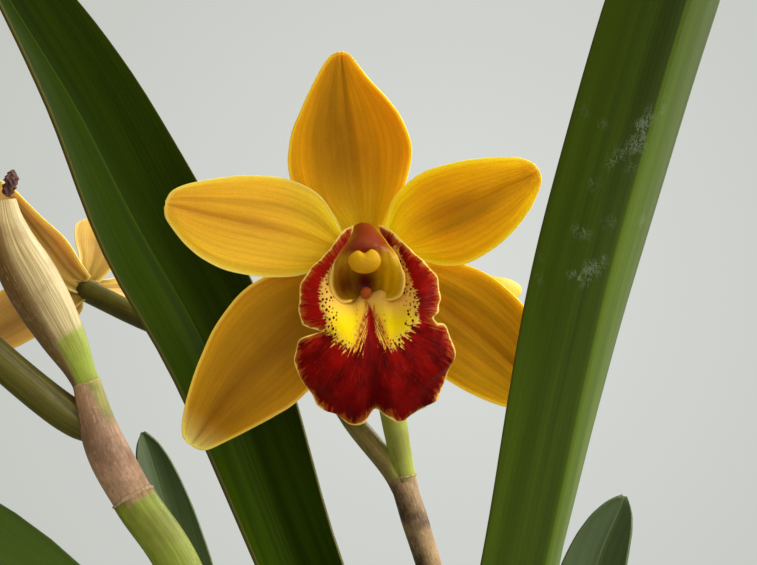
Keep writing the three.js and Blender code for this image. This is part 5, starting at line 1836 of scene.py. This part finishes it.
def bract(
    at: list[float], along: list[float], outward: list[float], length: float, half: float, clasp: float = 2.4,
) -> BMesh:
    """A papery bract that clasps the stem at a joint.

    Args:
        at: the middle of the stem there.
        along: the stem's direction.
        outward: the side on which it stands.
        length: its length in mm.
        half: half its width at its foot.
        clasp: how far it stands from the stem's middle.
    Returns:
        The mesh.
    """
    up = unit(np.array([along], float))[0]
    out = np.array(outward, float)
    out = unit((out - up * (out @ up))[None])[0]
    side = np.cross(up, out)

    def surface(u: Array, v: Array) -> Array:
        """A pointed, hollow blade."""
        share = half * (1 - v**1.6) + 0.2
        lift = clasp + 0.9 * v + 0.5 * np.sin(6 * v) * v - 1.9 * u * u * (1 - v * 0.7)
        return np.array(at) + up * (length * v)[:, None] + side * (u * share)[:, None] + out * lift[:, None]

    return sheet(12, 24, surface, seed=length)


def cuff(
    path: Curve, share: float, radius: float, height: float, slant: float, flare: float, seed: int,
) -> BMesh:
    """A short torn rim of papery sheath round a stem.

    Args:
        path: the stem's line.
        share: where on it the rim stands.
        radius: the stem's radius there.
        height: the rim's height in mm.
        slant: how much lower its two sides stand than its front, in mm.
        flare: how far its edge stands off the stem.
        seed: its own number.
    Returns:
        The mesh, open above and below.
    """
    centre, way = path.at(np.array([share]))[0], path.tangent(np.array([share]))[0]
    front = unit((np.array([0.0, -1.0, 0]) - way * np.dot([0.0, -1.0, 0], way))[None])[0]
    other = np.cross(way, front)

    def surface(u: Array, v: Array) -> Array:
        """A sleeve from just below the joint to its torn edge."""
        angle = u * np.pi * 0.999
        torn = 0.2 * np.sin(5 * angle + seed) + 0.1 * np.sin(13 * angle)
        up = (v - 0.35) * (height + torn * v) + slant * (np.cos(angle) - 0.4)
        size = radius + 0.05 + flare * v**2
        ring = np.cos(angle)[:, None] * front + np.sin(angle)[:, None] * other
        return centre + way * up[:, None] + ring * size[:, None]

    return sheet(48, 6, surface, seed=seed, even=True)


def toned(bm: BMesh, tone: Callable[[Array], Array]) -> BMesh:
    """Gives a mesh the tone attribute from its vertices' places.

    Args:
        bm: the mesh.
        tone: gives the brown, purple and young shares for points in mm.
    Returns:
        The same mesh.
    """
    note(bm, "tone", np.clip(tone(np.array([v.co for v in bm.verts]) / MM), 0, 1))
    return bm


@dataclass
class MiddleSpike:
    """The flower spike in the middle, which forks below the best bloom."""

    stem: Rows = field(default_factory=lambda: [
        [35, -15, 120], [34, -17, 200], [27, -22, 300], [16.5, -26, 370], [7.6, -29, 415], [-3, -30, 446],
        [-9.8, -30, 467.4],
    ])
    rachis: Rows = field(default_factory=lambda: [
        [-7.6, -29.8, 460.5], [-11, -29.5, 468.5], [-21, -26, 481], [-27, -20, 492], [-26.5, -13, 500],
        [-23, -6, 507],
    ])
    best_stalk: Rows = field(default_factory=lambda: [
        [-7.9, -30, 462], [-11.2, -30.5, 478], [-13.8, -33, 494], [-16, -40.5, 507.5], [-17.3, -50, 514],
        [-17.5, -57.4, 515.5],
    ])
    back_fork: list[float] = field(default_factory=lambda: [-27.4, -18, 493])
    ring: float = 468.6
    joint: float = 459.3

    def tone(self, points: Array) -> Array:
        """Green above the ring, brown with a purple joint and an olive streak below it, and green lower;
        below the ring painted shade darkens its left side.
        """
        z = points[:, 2]
        below = 1 - smooth(-0.5, 0.5, z - self.ring - 0.2 * (points[:, 0] + 8))
        brown = below * (0.35 + 0.65 * smooth(330, 425, z))
        streak = np.exp(-(((points[:, 0] + 4.9 - 0.3 * (467 - z)) / 0.8) ** 2)) * smooth(460, 462, z)
        band = 0.75 * np.exp(-(((z - self.joint) / 1.3) ** 2)) + 0.3 * smooth(450, 462, z) * below
        aside = points[:, 0] + 11.9 + 0.3 * (z - self.ring)
        fork = smooth(0.4, -0.4, aside) * smooth(464, 468, z)
        young = (1 - below) * (1 - fork)
        brown = np.maximum(brown * (1 - 0.7 * streak), fork * (0.5 - 0.3 * smooth(470, 492, z)))
        rows = np.array(self.stem)
        middle = np.interp(z, rows[:, 2], rows[:, 0])
        # Painted shade down the stem's left side, carried in the purple share.
        shade = 0.9 * smooth(1.2, -2.0, points[:, 0] - middle) * below
        return np.stack([brown, np.maximum(band * (1 - streak), shade) + 0.3 * fork, young], 1)

    def build(self) -> None:
        """Makes the stem, its fork, the stalks and the bracts."""
        stem, rachis, best = Curve(self.stem), Curve(self.rachis), Curve(self.best_stalk)
        node = stem.share_at(2, self.joint)
        base, looks, _, _ = BUD_PLACES["bud_behind"]
        to_bud = stalk([-24, -8, 505.5], base, looks, 0.3)
        centre = np.array(BLOOM_PLACES["best"][0])
        disc = blob(
            4, lambda w: centre + np.stack([5.6 * w[:, 0], 2.9 - 0.9 * w[:, 1], 0.6 + 5.6 * w[:, 2]], 1),
        )
        parts = [
            pipe(
                stem, 28, 220,
                swelling([node], swelling([0.3, 0.52, 0.74], taper(3.8, 2.75, 0.2, 0.97)), 0.15), seed=1,
            ),
            pipe(best, 28, 70, taper(2.2, 2.9, 0, 0.42), seed=4),
            pipe(rachis, 24, 60, lambda t, angle: 2.05 + 0.55 * smooth(0, 0.12, t) - 0.7 * t, seed=3),
            pipe(to_bud, 16, 30, taper(1.9, 2.1), seed=6),
            disc,
        ]
        hand_over(
            "middle_spike_grown", toned(joined(parts), self.tone), [MIDDLE_SKIN], Slot.STEM,
            ["middle_spike_stem"],
        )
        back = stalk(self.back_fork, BLOOM_PLACES["back"][0], BACK_STALK_WAY, BLOOM_PLACES["back"][3])
        fork = pipe(back, 20, 48, taper(2.1, 2.7, 0.35, 0.9), seed=5)
        hand_over("middle_spike_fork", fork, [BRANCH_SKIN], Slot.STEM, [])
        bracts = [
            bract([25.6, -22.6, 309], [-0.12, -0.06, 1], [1, -0.5, 0], 34, 4.4),
            bract([13.4, -27.4, 390], [-0.2, -0.06, 1], [-1, -0.4, 0], 30, 4.2),
        ]
        hand_over("middle_spike_bracts", joined(bracts), [PAPER_SKIN], Slot.STEM, [], thickness=0.6)
        rim = cuff(best, best.share_at(2, self.ring), 2.48, 0.35, 0.2, 0.02, 3)
        hand_over("middle_spike_ring", rim, [RIM_PAPER], Slot.STEM, [], thickness=0.15)


@dataclass
class LeftSpike:
    """The flower spike at the left: joint, papery sheath, spent pod, and a branch with blooms and buds."""

    stem: Rows = field(default_factory=lambda: [
        [-27, -45, 120], [-26, -49, 200], [-26, -55, 270], [-30, -62, 340], [-39, -67, 410],
        [-54.2, -70, 454.7], [-62.7, -70, 467.5], [-68.9, -70, 479.2], [-72.2, -70, 490.8],
    ])
    rachis: Rows = field(default_factory=lambda: [
        [-66, -67.8, 475.5], [-71, -67.8, 481], [-77.3, -69.5, 485.2], [-89, -72, 495.2], [-102, -73, 508],
        [-112, -73, 525], [-121, -72, 548], [-130, -70, 580], [-138, -66, 612], [-143, -62, 640],
    ])
    pod: Rows = field(default_factory=lambda: [
        [-72.1, -70, 490.2], [-74.6, -70, 495.4], [-78.3, -70, 502.2], [-82.6, -70, 509.8],
        [-86.1, -70, 516.4], [-87.7, -70, 521.2], [-88.5, -70, 526],
    ])
    bloom_starts: dict[str, list[float]] = field(default_factory=lambda: {
        "near_left": [-104, -73, 510.5], "far_left": [-124, -71.6, 560], "upper_left": [-132.5, -69, 590],
    })
    bud_starts: dict[str, list[float]] = field(default_factory=lambda: {
        "bud_top_left": [-142, -63, 634], "bud_top_right": [-142.6, -62.2, 636],
    })
    ring: float = 468.0
    neck: float = 490.2

    def tone(self, points: Array) -> Array:
        """Green below the ring, and a brown sheath above it with purple clouds and an olive streak."""
        x, z = points[:, 0], points[:, 2]
        ring = self.ring + 0.35 * (x + 62.3)
        above = smooth(-0.25, 0.25, z - ring)
        sheath = above * (1 - smooth(-0.2, 0.2, z - self.neck - 0.2 * (x + 71.9)))
        edge = x + 68 + 0.48 * (z - 479.2)
        olive = 0.8 * smooth(1.2, 2.2, edge) * smooth(481, 485, z)
        purple = 0.15 + 0.35 * smooth(470, 476, z) * (1 - smooth(482, 487, z))
        lower = 1 - smooth(250, 420, z)
        young = 0.25 * (1 - above) + smooth(-0.2, 0.2, z - self.neck)
        return np.stack([sheath * (1 - olive), sheath * purple + 0.1 * lower, young], 1)

    def build(self) -> None:
        """Makes the stem, sheath, branch, stalks, bracts, pod and withered flower."""
        stem, rachis = Curve(self.stem), Curve(self.rachis)
        joint, top = stem.share_at(2, self.ring), stem.share_at(2, self.neck)
        shares = [[0, 4.1], [0.25, 4.3], [0.45, 4.2], [0.63, 3.7], [0.86, 3.1], [1, 2.72], [1.1, 2.7]]
        rows = [[joint + (top - joint) * share, size] for share, size in shares]
        parts = [
            pipe(stem, 32, 220, swelling([0.3, 0.52, 0.72], taper(4.1, 4.35, 0.5, 1)), (0, joint), seed=11),
            pipe(stem, 40, 60, lambda t, angle: keyed(rows, t, 0.006)[:, 0], (joint - 0.004, 1), seed=12),
        ]
        for k, (name, start) in enumerate(self.bloom_starts.items()):
            centre, looks, _, back = BLOOM_PLACES[name]
            to_bloom = stalk(start, centre, looks, back)
            parts.append(pipe(to_bloom, 20, 40, taper(2.2, 2.75, 0.2, 0.9), seed=15 + k))
        for k, (name, start) in enumerate(self.bud_starts.items()):
            base, looks, _, _ = BUD_PLACES[name]
            parts.append(pipe(stalk(start, base, looks, 0.3), 16, 24, taper(1.85, 2.1), seed=18 + k))
        hand_over(
            "left_spike_grown", toned(joined(parts), self.tone), [SPIKE_SKIN], Slot.STEM, ["left_spike_stem"],
        )

        def thinned(t: Array, angle: Array) -> Array:
            """The branch: thin where it leaves the sheath, with a groove along its upper side."""
            aside = angle + 2.75 - 0.6 * smooth(0.0, 0.14, t)
            groove = 0.55 * np.exp(-((aside / 0.1) ** 2)) * smooth(0.4, 0.3, t)
            return (3.75 - 1.8 * t) * (0.5 + 0.5 * smooth(0.01, 0.06, t)) - groove

        branch = pipe(rachis, 40, 150, swelling([0.36, 0.62, 0.8], thinned), seed=14)
        hand_over("left_branch", branch, [BRANCH_SKIN], Slot.STEM, [])
        bracts = [
            bract([-26, -54.5, 262], [0, -0.08, 1], [-1, -0.5, 0], 36, 4.6),
            bract([-31.5, -63, 352], [-0.15, -0.1, 1], [0.7, -1, 0], 34, 4.4),
        ]
        hand_over("left_spike_bracts", joined(bracts), [PAPER_SKIN], Slot.STEM, [], thickness=0.6)
        rims = [cuff(stem, joint, 4.15, 0.7, 0.9, 0.2, 2), cuff(stem, top, 2.68, 0.28, 0.2, 0.0, 4)]
        hand_over("left_spike_rings", joined(rims), [RIM_PAPER], Slot.STEM, [], thickness=0.2)
        self.build_pod()

    def build_pod(self) -> None:
        """Makes the ribbed pod and the withered flower on it."""
        rows = [
            [0, 2.65], [0.05, 2.75], [0.21, 4.1], [0.4, 5.1], [0.55, 5.4], [0.67, 5.2], [0.8, 4.3], [1, 2.5],
        ]
        line = Curve(self.pod)

        def radius(t: Array, angle: Array) -> Array:
            """Six soft ribs with a furrow on each."""
            ribs = 0.03 * np.cos(6 * angle) - 0.02 * np.exp(-((np.sin(3 * angle) / 0.2) ** 2))
            return keyed(rows, t, 0.05)[:, 0] * (1 + ribs * smooth(0.1, 0.3, t))

        def tone(points: Array) -> Array:
            """Still green on the right of its foot, straw-coloured above, with painted shade browning its
            left side.
            """
            x, z = points[:, 0], points[:, 2]
            axis = x + 72.1 + 0.55 * (z - 490.2)
            low = 1 - smooth(-1, 0.8, (z - 499.2) - 0.75 * (x + 76.5))
            green = low * smooth(-1.9, -0.9, axis - 0.06 * (z - 490))
            # Painted shade: the pod's left side is browned and darkened.
            dark = 0.9 * smooth(3.2, -3.2, axis + 0.25 * smooth(490, 505, z)) * (1 - green)
            return np.stack([dark, 0 * dark, green], 1)

        hand_over(
            "pod_ribbed", toned(pipe(line, 72, 80, radius, seed=21), tone), [POD_SKIN], Slot.POD,
            ["spent_pod"],
        )

        def crumpled(w: Array) -> Array:
            """A shrivelled knot."""
            size = 0.8 + 0.25 * np.sin(w[:, 0] * 7 + w[:, 2] * 4) * np.cos(w[:, 1] * 6 + w[:, 2] * 3)
            creases = np.abs(np.sin(w[:, 0] * 15 + w[:, 1] * 11 + 4 * w[:, 2]))
            size = size + 0.16 * creases * np.sin(w[:, 2] * 17 + 9 * w[:, 0])
            x = -87 + 1.5 * w[:, 0] * size + 0.5 * w[:, 2]
            return np.stack([x, -70 + 1.6 * w[:, 1] * size, 529.4 + 2.7 * w[:, 2]], 1)

        hand_over("withered_knot", blob(5, crumpled), [WITHERED_SKIN], Slot.WITHERED, ["withered_flower"])


# Studio
VIEW_MIDDLE = (0.03, 0.999, 0.0)
WINDOW_WAY = (0.8, 0.25, 0.55)
LIT_POINT = (-0.03, -0.05, 0.5)
# Each light's name, place, side and power, all in metres and watts, and its colour.
LIGHTS = [
    ("window", (1.1, -0.35, 1.2), 0.8, 22.0, "#FFFBF4"),
    ("window_behind", (0.85, 0.8, 1.15), 0.8, 14.0, "#FFFBF4"),
    ("fill", (0.15, -1.5, 0.75), 1.2, 5.0, "#F6F8FF"),
]


class Studio:
    """Camera, lights, floor and the pale room round the plant."""

    def camera(self) -> None:
        """A level camera in front of the blooms, framed for a picture of 757 x 565."""
        data = bpy.data.cameras.new("view")
        data.sensor_fit = "HORIZONTAL"
        data.sensor_width = 36.0
        data.lens = 107.0
        camera = bpy.data.objects.new("view", data)
        camera.location = (-0.015, -0.51, 0.51)
        camera.rotation_euler = (math.pi / 2, 0, 0)
        bpy.context.scene.collection.objects.link(camera)
        bpy.context.scene.camera = camera

    def light(
        self, name: str, spot: tuple[float, float, float], size: float, watts: float, colour: str,
    ) -> None:
        """Adds a square soft light that points at the blooms.

        Args:
            name: its name.
            spot: where it is, in metres.
            size: its side in metres.
            watts: its power.
            colour: its colour.
        """
        data = bpy.data.lights.new(name, "AREA")
        data.shape = "SQUARE"
        data.size = size
        data.energy = watts
        data.color = linear(colour)[:3]
        lamp = bpy.data.objects.new(name, data)
        lamp.location = spot
        lamp.rotation_euler = (Vector(LIT_POINT) - Vector(spot)).to_track_quat("-Z", "Y").to_euler()
        bpy.context.scene.collection.objects.link(lamp)

    def room(self) -> None:
        """A pale grey room: brighter in the middle of the view, a little darker to its corners."""
        world = bpy.data.worlds.new("room")
        bpy.context.scene.world = world
        add = Shader(world).add
        way = add("TexCoord").outputs["Generated"]
        apart = add("VectorMath:DISTANCE", way, VIEW_MIDDLE).outputs["Value"]
        wall = add("ValToRGB", apart, stops=((0, "#DADDD8"), (0.24, "#C4C6C0"), (1, "#C4C6C0")))
        toward = add("VectorMath:DOT_PRODUCT", way, WINDOW_WAY).outputs["Value"]
        felt = add("Background", "#F2F1EC", add("MapRange", toward, -0.7, 1.0, 0.1, 1.1))
        seen = add("LightPath").outputs["Is Camera Ray"]
        add("OutputWorld", add("MixShader", seen, felt, add("Background", wall)))

    def floor(self) -> None:
        """A round pale board under the pot."""
        bm = bmesh.new()
        bmesh.ops.create_circle(bm, cap_ends=True, segments=96, radius=2.2)
        mesh = bpy.data.meshes.new("floor")
        bm.to_mesh(mesh)
        bm.free()
        mesh.materials.append(material_of(PlainBoard()))
        board = bpy.data.objects.new("floor", mesh)
        bpy.context.scene.collection.objects.link(board)

    def build(self) -> None:
        """Sets the scene."""
        self.camera()
        self.room()
        self.floor()
        for row in LIGHTS:
            self.light(*row)
        bpy.context.scene.view_settings.view_transform = "Standard"


def main() -> None:
    """Builds every piece in order."""
    logging.basicConfig(level=logging.INFO, format="%(name)s %(message)s")
    Studio().build()
    Pot().build()
    for k, (name, sizes) in enumerate(BULBS.items()):
        Bulb(name, *sizes).build(seed=30 + k)
    holes = [(x, y, max(rx, ry)) for x, y, rx, ry, _, _ in BULBS.values()] + [(35, -15, 6), (-27, -45, 6)]
    BarkBed(holes=holes).build()
    arched = {name: dict(zip(ARCH_FIELDS, row)) for name, row in ARCHED_LEAVES.items()}
    for k, (name, shape) in enumerate(sorted({**SPINED_LEAVES, **arched}.items(), key=lambda item: item[0])):
        Leaf(name, **shape).build(seed=k + 1)
    MiddleSpike().build()
    LeftSpike().build()
    centre, looks, turn, _ = BLOOM_PLACES["best"]
    Bloom(
        "best_bloom", centre, looks, turn, BEST_TEPALS, [f"best_bloom_{t.name}" for t in BEST_TEPALS],
        ["best_bloom_lip"], ["best_bloom_column"], ["best_bloom_anther_cap"], shift=1.6, ripple=0.9, fine=1.0,
    ).build()
    for name in ("near_left", "far_left", "upper_left"):
        centre, looks, turn, _ = BLOOM_PLACES[name]
        Bloom(
            name, centre, looks, turn, PLAIN_TEPALS, [f"{name}_bloom_tepals"], [f"{name}_bloom_lip"],
            [f"{name}_bloom_column"],
        ).build()
    centre, looks, turn, _ = BLOOM_PLACES["back"]
    Bloom(
        "half_closed", centre, looks, turn, BACK_TEPALS, ["back_bloom"], ["back_bloom"], ["back_bloom"],
        lip_looks=[-0.2, 0.97, 0.1], lip_turn=90, lip_scale=0.45, lip_in=5.0, heart=(2.5, 2.5, 1.4),
    ).build()
    for name, sizes in BUD_PLACES.items():
        Bud(name, *sizes).build()


if __name__ == "__main__":
    main()
